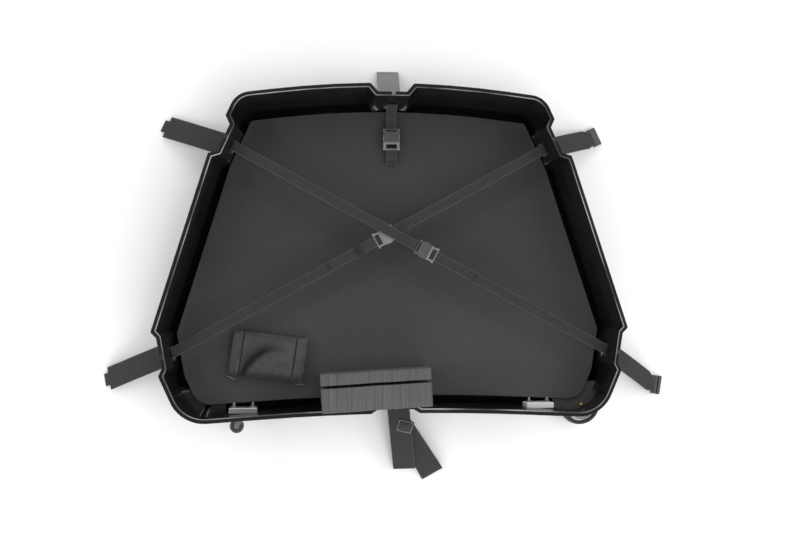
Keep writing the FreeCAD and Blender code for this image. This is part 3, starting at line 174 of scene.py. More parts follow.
def grain_group():
    inputs = (("Vector", "NodeSocketVector"), ("Scale", "NodeSocketFloat"),
              ("Scratch Scale", "NodeSocketFloat"))
    tree, given, made = group("moulding_grain", inputs, ("Fine", "Broad", "Scratch"))
    place = given.outputs["Vector"]
    fine = cloudy(tree, place, given.outputs["Scale"], 3.0)
    broad = cloudy(tree, place, BROAD_SCALE, 3.0)
    turned = wire(tree, "ShaderNodeMapping", {"Vector": place, "Rotation": SCRATCH_TURN,
                                              "Scale": SCRATCH_STRETCH})
    lines = cloudy(tree, turned.outputs["Vector"], given.outputs["Scratch Scale"], 2.0)
    cut = spread(tree, lines, 0.0, 1.0, *SCRATCH_BAND)
    patch = spread(tree, broad, 0.0, 1.0, *SCRATCH_PATCHES)
    tree.links.new(fine, made.inputs["Fine"])
    tree.links.new(broad, made.inputs["Broad"])
    tree.links.new(sums(tree, "MULTIPLY", cut, patch), made.inputs["Scratch"])
    return tree


def grain_node(tree, scale, scratch_scale=PLAIN_SCRATCH):
    return placed(tree, GRAIN, {"Scale": scale, "Scratch Scale": scratch_scale})


def grained(name, dark, light, scale, depth, tone="Fine", rough=(0.5, 0.5), band=(0.0, 1.0)):
    # a plain finish: the grain shades its colour, and where wanted its gloss and relief
    made, tree, shader = surface(name, light, rough[0])
    grain = grain_node(tree, scale)
    shade = spread(tree, grain.outputs[tone], 0.0, 1.0, *band)
    tree.links.new(tint(tree, shade, dark, light), shader.inputs["Base Color"])
    if rough[0] < rough[1]:
        tree.links.new(spread(tree, grain.outputs["Fine"], *rough), shader.inputs["Roughness"])
    if depth > 0.0:
        relief(tree, shader, grain.outputs["Fine"], depth)
    return made


def face_turn(edge):
    return math.degrees(edge.calc_face_angle(0.0))


def opened(mesh):
    shape = bmesh.new()
    shape.from_mesh(mesh)
    return shape


def closed(shape, mesh):
    shape.to_mesh(mesh)
    shape.free()


def smoothed(shape, mesh, sharp):
    for face in shape.faces:
        face.smooth = True
    closed(shape, mesh)
    mesh.set_sharp_from_angle(angle=math.radians(sharp))


def stand(name, data):
    made = bpy.data.objects.new(name, data)
    bpy.context.scene.collection.objects.link(made)
    return made


def piece_from(shape, name, sharp=SHARP_ANGLE):
    mesh = bpy.data.meshes.new(name)
    smoothed(shape, mesh, sharp)
    return stand(name, mesh)


def round_edges(shape, edges, width, steps):
    bmesh.ops.bevel(shape, geom=edges, offset=width, offset_type="OFFSET", affect="EDGES", segments=steps,
                    profile=0.5, material=-1, clamp_overlap=False)


def hard_copy(node, name, width, steps, chosen):
    # a copy of the piece with its corners merged and the chosen edges rounded
    shape = opened(nodes[node].data)
    bmesh.ops.remove_doubles(shape, verts=shape.verts, dist=MERGE)
    bmesh.ops.join_triangles(shape, faces=shape.faces, angle_face_threshold=math.radians(FLAT_ANGLE),
                             angle_shape_threshold=math.pi)
    round_edges(shape, [edge for edge in shape.edges if chosen(edge)], width, steps)
    return piece_from(shape, name)


def even_normals(piece):
    flat = piece.modifiers.new("even_normals", "WEIGHTED_NORMAL")
    flat.keep_sharp = True
    flat.weight = 80


def dress(piece, finish, slot, body, *replaced):
    piece.data.materials.clear()
    piece.data.materials.append(finish)
    if body:
        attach(piece, body)
    if replaced:
        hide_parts(*replaced)


def rim_edge(edge):
    high = all(vert.co.z > RIM_LOW for vert in edge.verts)
    return high and edge.calc_length() > RIM_SHORTEST and face_turn(edge) > SHARP_ANGLE


GRAIN = grain_group()
shell_finish, tree, shader = surface("moulded_black", SHELL_BLACK, 0.2)
grain = grain_node(tree, 850.0, 15.0)
tree.links.new(tint(tree, grain.outputs["Scratch"], SHELL_BLACK, SHELL_SCUFFED), shader.inputs["Base Color"])
smear = spread(tree, grain.outputs["Broad"], 0.14, 0.34, 0.3, 0.7)
scored = spread(tree, grain.outputs["Scratch"], 0.0, 0.2)
tree.links.new(sums(tree, "ADD", smear, scored), shader.inputs["Roughness"])
relief(tree, shader, grain.outputs["Fine"], 0.00005)
shader.inputs["Specular IOR Level"].default_value = 0.5

# The lip's top faces are painted pale in patches: a painted highlight line along the inner lip.
lip_painted_highlight = grained("painted_lip_highlight", LIP_DARK, LIP_HIGHLIGHT, 700.0, 0.00006, "Broad", (0.3, 0.55), (0.40, 0.66))
# The right housing ledge is painted a lighter grey over its real grain: a painted highlight band where the
# ledge catches the light.
housing_painted_highlight = grained("textured_housing_painted_highlight", HOUSING_DARK, HOUSING_HIGHLIGHT_GREY, 500.0, 0.0002, "Broad", (0.45, 0.65))

shell = hard_copy("shell", "tray_shell", RIM_EDGE, 2, rim_edge)
even_normals(shell)
dress(shell, shell_finish, "shell_plastic", "case", "shell")
shell.data.materials.append(lip_painted_highlight)
shell.data.materials.append(housing_painted_highlight)
shell_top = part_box("shell")[1].z
for face in shell.data.polygons:
    # painted highlight: only the right housing ledge takes the lighter grey
    ledge = abs(face.center.z - HOUSING_TOP) < HOUSING_NEAR and face.center.x > 0.0
    # painted highlight: the lip tops take the pale lip colour
    if face.center.z > shell_top - LIP_TOP and face.normal.z > LIP_FACING:
        face.material_index = 1
    elif ledge and face.normal.z > HOUSING_FACING:
        face.material_index = 2


# Floor mat: a sheet of closed-cell foam, cut to the tray floor and laid in loose.
# The cut edge is a little rounded and the surface lies slightly uneven.

MAT_EDGE = 0.0022
MAT_PAINTED_LIT = (0.066, 0.065, 0.063)
MAT_WAVE = 0.0009
MAT_RIPPLE = 7.0
MAT_SINK = 0.6
MAT_NEAR = 0.0005
MAT_SKIN = 0.0002
MAT_STEP = 0.03
MAT_LIT_FULL_Y = -0.36
MAT_LIT_START_Y = -0.02
ALONG_X = Vector((1.0, 0.0, 0.0))
ALONG_Y = Vector((0.0, 1.0, 0.0))
MAT_DARK = (0.018, 0.018, 0.0182)
MAT_LIGHT = (0.043, 0.043, 0.0426)


def foam_group():
    inputs = (("Vector", "NodeSocketVector"), ("Scale", "NodeSocketFloat"))
    tree, given, made = group("foam_cells", inputs, ("Cells", "Speckle", "Broad"))
    place = given.outputs["Vector"]
    cells = wire(tree, "ShaderNodeTexVoronoi", {"Vector": place, "Scale": given.outputs["Scale"]})
    speck = cloudy(tree, place, 420.0, 4.0)
    tree.links.new(cells.outputs["Distance"], made.inputs["Cells"])
    tree.links.new(spread(tree, speck, 0.0, 1.0, 0.35, 0.68), made.inputs["Speckle"])
    tree.links.new(cloudy(tree, place, 5.0, 3.0), made.inputs["Broad"])
    return tree


def split(shape, spot, across):
    everything = shape.verts[:] + shape.edges[:] + shape.faces[:]
    bmesh.ops.bisect_plane(shape, geom=everything, plane_co=spot, plane_no=across, dist=MERGE)


def slice_up(shape, axis, start, stop, step):
    for k in range(1, int((stop - start) / step) + 1):
        split(shape, axis * (start + k * step), axis)


FOAM = foam_group()
mat_finish, tree, shader = surface("mat_foam", MAT_LIGHT, 0.85)
foam = placed(tree, FOAM, {"Scale": 900.0})
shade = sums(tree, "ADD", spread(tree, foam.outputs["Speckle"], 0.0, 0.55),
             spread(tree, foam.outputs["Broad"], 0.0, 0.45))
# Painted light: the mat's colour is painted lighter towards the front, where more light falls on it.
place = wire(tree, "ShaderNodeTexCoord", {})
front = wire(tree, "ShaderNodeSeparateXYZ", {0: place.outputs["Object"]}).outputs["Y"]
painted_light = sums(tree, "MULTIPLY", spread(tree, front, 0.9, 0.0, MAT_LIT_FULL_Y, MAT_LIT_START_Y),
             spread(tree, foam.outputs["Speckle"], 0.5, 1.0))
tree.links.new(blended(tree, painted_light, tint(tree, shade, MAT_DARK, MAT_LIGHT), (*MAT_PAINTED_LIT, 1.0)),
               shader.inputs["Base Color"])
tree.links.new(spread(tree, foam.outputs["Broad"], 0.75, 0.95), shader.inputs["Roughness"])
relief(tree, shader, foam.outputs["Cells"], 0.0004)

mat_low, mat_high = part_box("floor_mat")


def mat_edge(edge):
    high = all(vert.co.z > mat_high.z - MAT_NEAR for vert in edge.verts)
    return high and face_turn(edge) > SHARP_ANGLE


mat = hard_copy("floor_mat", "foam_mat", MAT_EDGE, 3, mat_edge)
shape = opened(mat.data)
slice_up(shape, ALONG_X, mat_low.x, mat_high.x, MAT_STEP)
slice_up(shape, ALONG_Y, mat_low.y, mat_high.y, MAT_STEP)
for vert in shape.verts:
    if vert.co.z > mat_high.z - MAT_SKIN:
        vert.co.z += MAT_WAVE * (noise.noise(vert.co * MAT_RIPPLE) - MAT_SINK)
closed(shape, mat.data)
dress(mat, mat_finish, "mat_foam", "case", "floor_mat")


# Strap anchors: zinc-plated steel brackets with a cross bar, riveted through each recess wall
# to a plate on the inside. The plating is dull, with fine brushing, darker worn patches and scratches.

WALLS = ("top", "upper_right", "upper_left", "lower_right", "lower_left", "bottom")
ZINC = (0.42, 0.42, 0.43)
ZINC_DULL = (0.20, 0.20, 0.21)
SHORTEST_EDGE = 0.0012


def metal(name, bright, dull, smooth, rough, share=1.0):
    made, tree, shader = surface(name, bright, smooth, share)
    grain = grain_node(tree, 600.0, 22.0)
    worn = sums(tree, "ADD", spread(tree, grain.outputs["Broad"], 0.0, 0.7, 0.35, 0.7),
                spread(tree, grain.outputs["Scratch"], 0.0, 0.3))
    tree.links.new(tint(tree, worn, bright, dull), shader.inputs["Base Color"])
    tree.links.new(spread(tree, grain.outputs["Fine"], smooth, rough, 0.3, 0.7), shader.inputs["Roughness"])
    relief(tree, shader, grain.outputs["Fine"], 0.00002)
    return made


def refinish(finish, *names):
    for name in names:
        mesh = nodes[name].data
        mesh.materials.clear()
        mesh.materials.append(finish)


def any_sharp(edge):
    return face_turn(edge) > SHARP_ANGLE and edge.calc_length() > SHORTEST_EDGE


zinc = metal("zinc_steel", ZINC, ZINC_DULL, 0.28, 0.5)
for wall in WALLS:
    refinish(zinc, "bracket_" + wall, "rivets_" + wall, "backplate_" + wall)


# Closure straps: charcoal polyester webbing about 50 mm wide, folded in two layers round the
# bracket bar and sewn through with black thread. Each lies out from its recess to the ground.

PLY = 0.00135
PLY_GAP = 0.00078
BAR_LOOP = 0.00368
STRAIGHT = 0.0063
STRAP_BOW = 0.003
STRAP_STEP = 0.008
LAP_START = 0.042
LAP_STOP = 0.044
LOOP_EXIT = 0.012
EYE_SETTLE = 0.012
EYE_STEP = 0.002
BAR_BOX = (0.014, 0.036)
EYE_BOX = (0.034, 0.014)
HEM_ROWS = (0.006, 0.010)
BOX_INSET = 0.006
HEM_INSET = 0.004
STITCH_PITCH = 0.0032
STITCH_SIZE = 0.0011
STITCH_SHARES = (0.4, 0.32)
STITCH_SHARP = 60.0
CLOTH_SHARP = 50.0
ALL_SMOOTH = 180.0
STRAP_RIB = 0.0017
STRAP_PICK = 0.0026
WEB_DARK = (0.0085, 0.0085, 0.0088)
WEB_LIGHT = (0.026, 0.026, 0.0265)
WEB_HIGHLIGHT_DARK = (0.10, 0.10, 0.101)
WEB_HIGHLIGHT_LIGHT = (0.25, 0.25, 0.252)
THREAD_BLACK = (0.02, 0.02, 0.021)
STRAPS = {
    "top": {"width": 0.056, "reach": 0.110, "lean": 0.0, "droop": 30.83, "end": PLY_GAP},
    "upper_right": {"width": 0.050, "reach": 0.145, "lean": 0.16, "droop": 19.05, "end": BAR_LOOP},
    "upper_left": {"width": 0.056, "reach": 0.177, "lean": -0.08, "droop": 17.21, "end": PLY_GAP},
    "lower_right": {"width": 0.050, "reach": 0.160, "lean": 0.43, "droop": 17.44, "end": BAR_LOOP},
    "lower_left": {"width": 0.056, "reach": 0.167, "lean": -0.2, "droop": 18.2, "end": PLY_GAP},
    "bottom": {"width": 0.056, "reach": 0.168, "lean": -0.11, "droop": 15.65, "end": PLY_GAP},
}
TAB_HALF = 0.0155
TAB_REACH = 0.013
TAB_SEWN = 0.03
EYE_HALF = 0.0178
EYE_BACK = 0.017
EYE_FRONT = 0.0042
SELVEDGE = 0.0016
SELVEDGE_HIGHLIGHT_SHARE = 0.3
SELVEDGE_ROUND = 0.32
# the webbing's edges are painted pale grey: a painted highlight along them
SELVEDGE_HIGHLIGHT = (0.16, 0.16, 0.16, 1.0)


def weave_group():
    inputs = (("Vector", "NodeSocketVector"), ("Rib", "NodeSocketFloat"), ("Pick", "NodeSocketFloat"))
    tree, given, made = group("webbing_weave", inputs, ("Height", "Thread Shade"))
    part = wire(tree, "ShaderNodeSeparateXYZ", {0: given.outputs["Vector"]})
    across = sums(tree, "DIVIDE", part.outputs["X"], given.outputs["Rib"])
    along = sums(tree, "DIVIDE", part.outputs["Y"], given.outputs["Pick"])
    stagger = sums(tree, "MULTIPLY", sums(tree, "MODULO", sums(tree, "FLOOR", across), 2.0), 0.5)
    step = sums(tree, "FRACT", sums(tree, "ADD", along, stagger))
    side = sums(tree, "FRACT", across)
    hump = sums(tree, "SINE", sums(tree, "MULTIPLY", step, math.pi))
    rib = sums(tree, "SINE", sums(tree, "MULTIPLY", side, math.pi))
    height = sums(tree, "MULTIPLY", sums(tree, "POWER", hump, 0.6), sums(tree, "POWER", rib, 0.6))
    # painted shade: the colour is darker in the hollows between raised threads, with a random fuzz on top
    fuzz = spread(tree, cloudy(tree, given.outputs["Vector"], 60.0, 4.0), 0.6, 1.3)
    tree.links.new(height, made.inputs["Height"])
    tree.links.new(sums(tree, "MULTIPLY", spread(tree, height, 0.35, 1.0), fuzz), made.inputs["Thread Shade"])
    return tree


def webbing(name, dark, light, rib, pick):
    made, tree, shader = surface(name, light, 0.8)
    # painted highlight: the edges of the webbing are blended towards a pale grey
    border = wire(tree, "ShaderNodeAttribute", {}, attribute_name="edge").outputs["Fac"]
    selvedge = spread(tree, border, SELVEDGE_HIGHLIGHT_SHARE, 0.0, 0.4 * SELVEDGE, SELVEDGE)
    place = wire(tree, "ShaderNodeUVMap", {}, uv_map="cloth")
    node = wire(tree, "ShaderNodeGroup", {"Vector": place.outputs["UV"], "Rib": rib, "Pick": pick},
                node_tree=WEAVE)
    woven = tint(tree, node.outputs["Thread Shade"], dark, light)
    tree.links.new(blended(tree, selvedge, woven, SELVEDGE_HIGHLIGHT), shader.inputs["Base Color"])
    tree.links.new(spread(tree, node.outputs["Thread Shade"], 0.9, 0.62), shader.inputs["Roughness"])
    relief(tree, shader, node.outputs["Height"], 0.0003)
    shader.inputs["Sheen Weight"].default_value = 0.08
    shader.inputs["Sheen Roughness"].default_value = 0.5
    return made


def lay_strip(shape, stations, columns=6):
    # stations are pairs of edge points along the webbing
    across = shape.verts.layers.float["across"]
    along = shape.verts.layers.float["along"]
    edge = shape.verts.layers.float["edge"]
    order = shape.verts.layers.int["order"]
    row = []
    travelled = 0.0
    last = None
    for left, right in stations:
        middle = (left + right) / 2.0
        if last is not None:
            travelled += (middle - last).length
        last = middle
        if row:
            edges = [shape.edges.get((row[k], row[k + 1])) for k in range(columns)]
            grown = bmesh.ops.extrude_edge_only(shape, edges=edges)["geom"]
            fresh = [item for item in grown if isinstance(item, bmesh.types.BMVert)]
            row = sorted(fresh, key=lambda vert: vert[order])
        else:
            row = [shape.verts.new(left) for k in range(columns + 1)]
            for k in range(columns):
                shape.edges.new((row[k], row[k + 1]))
        for k, vert in enumerate(row):
            vert.co = left.lerp(right, k / columns)
            vert[order] = k
            vert[across] = (right - left).length * (k / columns)
            vert[edge] = (right - left).length * (min(k, columns - k) / columns)
            vert[along] = travelled


def new_cloth():
    shape = bmesh.new()
    shape.verts.layers.float.new("across")
    shape.verts.layers.float.new("along")
    shape.verts.layers.float.new("edge")
    shape.verts.layers.int.new("order")
    return shape


def settle(piece):
    graph = bpy.context.evaluated_depsgraph_get()
    made = bpy.data.meshes.new_from_object(piece.evaluated_get(graph))
    piece.modifiers.clear()
    piece.data = made


def cloth_piece(shape, name, thick):
    across = shape.verts.layers.float["across"]
    along = shape.verts.layers.float["along"]
    cloth = shape.loops.layers.uv.new("cloth")
    for face in shape.faces:
        for loop in face.loops:
            loop[cloth].uv = (loop.vert[across], loop.vert[along])
    made = piece_from(shape, name, ALL_SMOOTH)
    body = made.modifiers.new("body", "SOLIDIFY")
    body.thickness = thick
    body.offset = 0.0
    body.use_even_offset = True
    edge = made.modifiers.new("selvedge", "BEVEL")
    edge.width = thick * SELVEDGE_ROUND
    edge.segments = 2
    edge.limit_method = "ANGLE"
    edge.angle_limit = math.radians(CLOTH_SHARP)
    settle(made)
    shape = opened(made.data)
    bmesh.ops.recalc_face_normals(shape, faces=shape.faces)
    smoothed(shape, made.data, CLOTH_SHARP)
    return made


def sew(shape, start, stop, facing, pitch=STITCH_PITCH, size=STITCH_SIZE):
    run = stop - start
    count = max(int(run.length / pitch), 1)
    along = run.normalized()
    side = facing.cross(along)
    turn = Matrix((along, side, facing)).transposed().to_4x4()
    grow = Matrix.Diagonal((size, size * STITCH_SHARES[0], size * STITCH_SHARES[1], 1.0))
    for k in range(count):
        spot = start + run * ((k + 0.5) / count)
        bmesh.ops.create_uvsphere(shape, u_segments=6, v_segments=4, radius=1.0,
                                  matrix=Matrix.Translation(spot) @ turn @ grow)


def arc(middle_r, radius, start, stop, count):
    points = []
    for k in range(count + 1):
        angle = math.radians(start + (stop - start) * k / count)
        points.append((middle_r + radius * math.cos(angle), radius * math.sin(angle)))
    return points


def run_points(start, stop, level, step):
    count = max(int(abs(stop - start) / step), 1)
    return [(start + (stop - start) * k / count, level) for k in range(count + 1)]


def belt(reach, end_radius):
    # the closed line of a folded strap, seen from its edge: out along it, and up from it
    eye = EYE_SETTLE if end_radius > PLY_GAP else 0.0
    line = run_points(LAP_START, LOOP_EXIT, -PLY_GAP, STRAP_STEP)
    line += arc(0.0, BAR_LOOP, -60.0, -300.0, 12)
    line += run_points(LOOP_EXIT, reach - 2.0 * eye, PLY_GAP, STRAP_STEP)
    if eye:
        line += run_points(reach - 1.8 * eye, reach - eye, PLY_GAP, EYE_STEP)
    line += arc(reach, end_radius, 80.0, -80.0, 8)
    if eye:
        line += run_points(reach - eye, reach - 1.8 * eye, -PLY_GAP, EYE_STEP)
    line += run_points(reach - 2.0 * eye, LAP_STOP, -PLY_GAP, STRAP_STEP)
    return line


def ease(share):
    share = min(max(share, 0.0), 1.0)
    return share * share * (3.0 - 2.0 * share)


class StrapFrame:
    def __init__(self, wall):
        facts = STRAPS[wall]
        joint = joints["strap_%s_swing" % wall]
        self.bar = Vector(joint["pos_m"])
        self.side = Vector(joint["axis"]).normalized()
        out = Vector((-self.side.y, self.side.x, 0.0))
        droop = math.radians(facts["droop"])
        self.along = out * math.cos(droop) - UP * math.sin(droop)
        self.facing = self.side.cross(self.along)
        self.reach = facts["reach"]
        self.half = facts["width"] / 2.0
        self.lean = facts["lean"]
        self.eye = EYE_HALF if facts["end"] > PLY_GAP else self.half

    def rails(self, r, s):
        narrowed = ease((r - self.reach + EYE_BACK) / (EYE_BACK - EYE_FRONT))
        half = self.half + (self.eye - self.half) * narrowed
        return (self.point(-half, r, s), self.point(half, r, s))

    def point(self, across, r, s):
        shift = self.lean * max(r - STRAIGHT, 0.0)
        bow = STRAP_BOW * math.sin(math.pi * min(max(r / self.reach, 0.0), 1.0))
        return self.bar + self.side * (across + shift) + self.along * r + self.facing * (s + bow)


def box_stitch(shape, strap, near, far, half, level):
    corners = [strap.point(-half, near, level), strap.point(half, near, level),
               strap.point(half, far, level), strap.point(-half, far, level)]
    for k in range(4):
        sew(shape, corners[k], corners[(k + 1) % 4], strap.facing)
    sew(shape, corners[0], corners[2], strap.facing)
    sew(shape, corners[1], corners[3], strap.facing)


WEAVE = weave_group()
strap_cloth = webbing("strap_webbing", WEB_DARK, WEB_LIGHT, STRAP_RIB, STRAP_PICK)
# The top strap's webbing is painted much paler: a painted highlight where it curves up from its recess and
# catches the light.
highlight_webbing = webbing("webbing_painted_highlight", WEB_HIGHLIGHT_DARK, WEB_HIGHLIGHT_LIGHT, STRAP_RIB, STRAP_PICK)
thread = grained("black_thread", THREAD_BLACK, WEB_LIGHT, 1500.0, 0.0001, rough=(0.6, 0.6))

for wall in WALLS:
    strap = StrapFrame(wall)
    shape = new_cloth()
    lay_strip(shape, [strap.rails(r, s) for r, s in belt(strap.reach, STRAPS[wall]["end"])])
    if wall in ("upper_left", "lower_left"):
        tab = run_points(strap.reach - TAB_SEWN, strap.reach + TAB_REACH, 0.0, STRAP_STEP)
        lay_strip(shape, [(strap.point(-TAB_HALF, r, s), strap.point(TAB_HALF, r, s)) for r, s in tab])
    cloth = cloth_piece(shape, "closure_strap_" + wall, PLY)
    # painted highlight: the top strap takes the pale webbing
    finish = highlight_webbing if wall == "top" else strap_cloth
    dress(cloth, finish, "strap_webbing", "closure_strap_" + wall, "strap_" + wall)
    shape = bmesh.new()
    level = PLY_GAP + PLY / 2.0
    box_stitch(shape, strap, *BAR_BOX, strap.half - BOX_INSET, level)
    if STRAPS[wall]["end"] == PLY_GAP:
        hem = strap.half - HEM_INSET
        for back in HEM_ROWS:
            r = strap.reach - back
            sew(shape, strap.point(-hem, r, level), strap.point(hem, r, level), strap.facing)
    else:
        near, far = (strap.reach - back for back in EYE_BOX)
        box_stitch(shape, strap, near, far, strap.half - BOX_INSET, level)
    stitches = piece_from(shape, "strap_stitches_" + wall, STITCH_SHARP)
    dress(stitches, thread, "strap_webbing", "closure_strap_" + wall)


# Bottom strap's second leg: a loose end of the same webbing under the front leg, cut at a slant.
# A plain dark patch is sewn on the front leg near the case with light thread.

TAIL_HALF = 0.026
TAIL_START = 0.034
TAIL_LEFT_END = 0.170
TAIL_RIGHT_END = 0.200
TAIL_LEAN = -0.5
TAIL_LEVEL = -0.0033
TAIL_SLIP = 0.004
TAIL_PARTS = 16
PATCH_AT = (-0.012, 0.0545)
PATCH_SIZE = (0.042, 0.034)
PATCH_THICK = 0.0011
PATCH_LIFT = 0.0004
PATCH_CORNER = 0.005
PATCH_RIM = 0.0003
PATCH_SHARP = 60.0
PATCH_PITCH = 0.0024
PATCH_STITCH = 0.0012
PATCH_TURN = -14.0
PATCH_BLACK = (0.008, 0.008, 0.008)
SEAM_INSET = 0.003
SEAM_CORNER = 0.004
SEAM_LIFT = 0.0007
THREAD_LIGHT = (0.62, 0.62, 0.62)
THREAD_SHADED = (0.4, 0.4, 0.4)

strap = StrapFrame("bottom")
lead = strap.lean * (TAIL_START - STRAIGHT)
swing = lead + TAIL_LEAN * (TAIL_RIGHT_END - TAIL_START) - TAIL_SLIP


def tail_point(share, side, level):
    end = TAIL_LEFT_END if side < 0.0 else TAIL_RIGHT_END
    r = TAIL_START + (end - TAIL_START) * share
    across = side * TAIL_HALF + lead + (swing - lead) * share
    return strap.bar + strap.side * across + strap.along * r + strap.facing * level


shape = new_cloth()
shares = [k / TAIL_PARTS for k in range(TAIL_PARTS + 1)]
loop = [(share, TAIL_LEVEL - PLY_GAP) for share in shares]
loop += [(1.0 + TAIL_SLIP, TAIL_LEVEL)]
loop += [(share, TAIL_LEVEL + PLY_GAP) for share in reversed(shares)]
lay_strip(shape, [(tail_point(share, -1.0, level), tail_point(share, 1.0, level)) for share, level in loop])
tail = cloth_piece(shape, "bottom_strap_tail", PLY)
dress(tail, strap_cloth, "strap_webbing", "closure_strap_bottom", "strap_bottom_tail")

patch_finish = grained("patch_rubber", PATCH_BLACK, WEB_DARK, 700.0, 0.00008)
light_thread = grained("light_thread", THREAD_SHADED, THREAD_LIGHT, 1500.0, 0.0, rough=(0.6, 0.6))

shape = bmesh.new()
bmesh.ops.create_cube(shape, size=1.0, matrix=Matrix.Diagonal((*PATCH_SIZE, PATCH_THICK, 1.0)))
upright = [edge for edge in shape.edges if abs(edge.verts[0].co.z - edge.verts[1].co.z) > PATCH_THICK / 2.0]
round_edges(shape, upright, PATCH_CORNER, 6)
round_edges(shape, [edge for edge in shape.edges if face_turn(edge) > PATCH_SHARP], PATCH_RIM, 2)
patch_middle = strap.point(*PATCH_AT, PLY_GAP + PLY / 2.0 + PATCH_LIFT)
patch_turn = Matrix((strap.side, strap.along, strap.facing)).transposed().to_4x4()
patch_skew = Matrix.Rotation(math.radians(PATCH_TURN), 4, "Z")
patch_place = Matrix.Translation(patch_middle) @ patch_turn @ patch_skew
bmesh.ops.transform(shape, matrix=patch_place, verts=shape.verts)
patch = piece_from(shape, "sewn_patch")
dress(patch, patch_finish, "strap_webbing", "closure_strap_bottom")

shape = bmesh.new()
half_x = PATCH_SIZE[0] / 2.0 - SEAM_INSET - SEAM_CORNER
half_y = PATCH_SIZE[1] / 2.0 - SEAM_INSET - SEAM_CORNER
outline = []
for cx, cy, start in ((1, 1, 0), (-1, 1, 90), (-1, -1, 180), (1, -1, 270)):
    for k in range(5):
        angle = math.radians(start + 22.5 * k)
        outline.append(Vector((cx * half_x + SEAM_CORNER * math.cos(angle),
                               cy * half_y + SEAM_CORNER * math.sin(angle), SEAM_LIFT)))
for k, spot in enumerate(outline):
    after = outline[(k + 1) % len(outline)]
    sew(shape, patch_place @ spot, patch_place @ after, strap.facing, PATCH_PITCH, PATCH_STITCH)
border = piece_from(shape, "patch_stitches", STITCH_SHARP)
dress(border, light_thread, "strap_webbing", "closure_strap_bottom")


# End plates of the right-hand straps: flat bars of black nylon, each hung by a cross rod in the
# strap's sewn eye, with a catch groove across one face. The upper one lies with its groove down.

END_DARK = (0.030, 0.030, 0.031)
END_WORN = (0.085, 0.085, 0.086)
END_EDGE = 0.0005


def worn_plastic(name, dark, worn, share, rough, scale, scratch_scale, depth):
    # share is how much of the wear is broad rubbing, and the rest is scratches
    made, tree, shader = surface(name, dark, rough[0])
    grain = grain_node(tree, scale, scratch_scale)
    wear = sums(tree, "ADD", spread(tree, grain.outputs["Broad"], 0.0, share),
                spread(tree, grain.outputs["Scratch"], 0.0, 1.0 - share))
    tree.links.new(tint(tree, wear, dark, worn), shader.inputs["Base Color"])
    tree.links.new(spread(tree, grain.outputs["Broad"], *rough), shader.inputs["Roughness"])
    relief(tree, shader, grain.outputs["Fine"], depth)
    return made


def edged(node, name, width, finish, slot, body):
    made = hard_copy(node, name, width, 2, any_sharp)
    even_normals(made)
    dress(made, finish, slot, body, node)


end_nylon = worn_plastic("end_nylon", END_DARK, END_WORN, 0.5, (0.36, 0.6), 800.0, 14.0, 0.00008)
for level in ("upper", "lower"):
    node = "end_plate_%s_right" % level
    edged(node, node + "_nylon", END_EDGE, end_nylon, "end_plastic", "strap_plate_" + level)


# Side-release buckles and the sliding keeper: moulded acetal with a satin sheen. The sides are
# drawn in at the finger windows, the faces are slightly crowned, and each socket has a sunk panel
# with a rib. A bar across the end of each half takes the webbing.

ACETAL_DARK = (0.045, 0.045, 0.047)
ACETAL_MID = (0.13, 0.13, 0.133)
ACETAL_PALE_HIGHLIGHT = (0.30, 0.30, 0.305)
KEEPER_DARK = (0.012, 0.012, 0.0122)
KEEPER_WORN = (0.038, 0.038, 0.039)
BUCKLE_HALF = 0.018
CORE_HALF = 0.0128
SOCKET_SIDES = ((-0.034, 0.0158), (-0.030, 0.0172), (-0.024, 0.0180), (-0.018, 0.0158), (-0.012, 0.0145),
                (-0.006, 0.0156), (0.0, 0.0172))
PLUG_SIDES = ((-0.03, 0.0150), (0.0, 0.0166), (0.006, 0.0180), (0.012, 0.0174), (0.020, 0.0152))
SLIM = 0.55
CROWN = 0.16
CROWN_FROM = 0.0035
PANEL_HALF = 0.0112
PANEL_ENDS = (-0.0255, -0.0035)
PANEL_DEPTH = 0.0007
PANEL_EDGE = 0.0008
PANEL_FACING = 0.95
PANEL_NEAR = 0.0005
RIB_HALF = 0.0016
RIB_INSET = 0.003
BAR_OVER = 0.0038
BAR_NEAR = 0.0002
BAR_FAR = 0.0026
BAR_HALF = 0.0148
BUCKLE_EDGE = 0.0007
BUCKLE_CUTS = [k * 0.001 for k in range(-36, 24, 2)]
SOCKET_END = 0.001
KEEPER_EDGE = 0.0006
SKIN = 0.0001
LINES = {
    "a": {"middle": (0.09063, -0.00112, 0.096), "near": "upper_left", "far": "lower_right", "tail": 0.105,
          "free": 0.35, "curl": 0.003},
    "b": {"middle": (-0.02458, 0.03652, 0.088), "near": "upper_right", "far": "lower_left", "tail": 0.128,
          "free": 0.30, "curl": 0.0005},
    "top": {"middle": (0.003, 0.282, 0.057)},
}
WEB_HALF = 0.0125


class LineFrame:
    def __init__(self, key):
        facts = LINES[key]
        self.middle = Vector(facts["middle"])
        self.along = Vector(joints["buckle_%s_release" % key]["axis"]).normalized()
        self.side = UP.cross(self.along)
        self.slim = SLIM if key == "top" else 1.0

    def rails(self, p, level, half=WEB_HALF):
        spot = self.middle + self.along * p + UP * level
        return (spot - self.side * half, spot + self.side * half)


def acetal(name, dark, pale):
    return worn_plastic(name, dark, pale, 0.6, (0.2, 0.36), 900.0, 16.0, 0.00006)


dark_acetal = acetal("dark_acetal", ACETAL_DARK, ACETAL_MID)
# The paler acetal is partly a lighter grey plastic on buckle b, and partly a painted highlight on the plugs'
# curved faces.
pale_acetal_and_highlight = acetal("pale_acetal_and_highlight", ACETAL_MID, ACETAL_PALE_HIGHLIGHT)
keeper_nylon = acetal("keeper_nylon", KEEPER_DARK, KEEPER_WORN)


def side_at(sides, p):
    for (p0, half0), (p1, half1) in zip(sides, sides[1:]):
        if p <= p1:
            return half0 + (half1 - half0) * ease((p - p0) / (p1 - p0))
    return sides[-1][1]


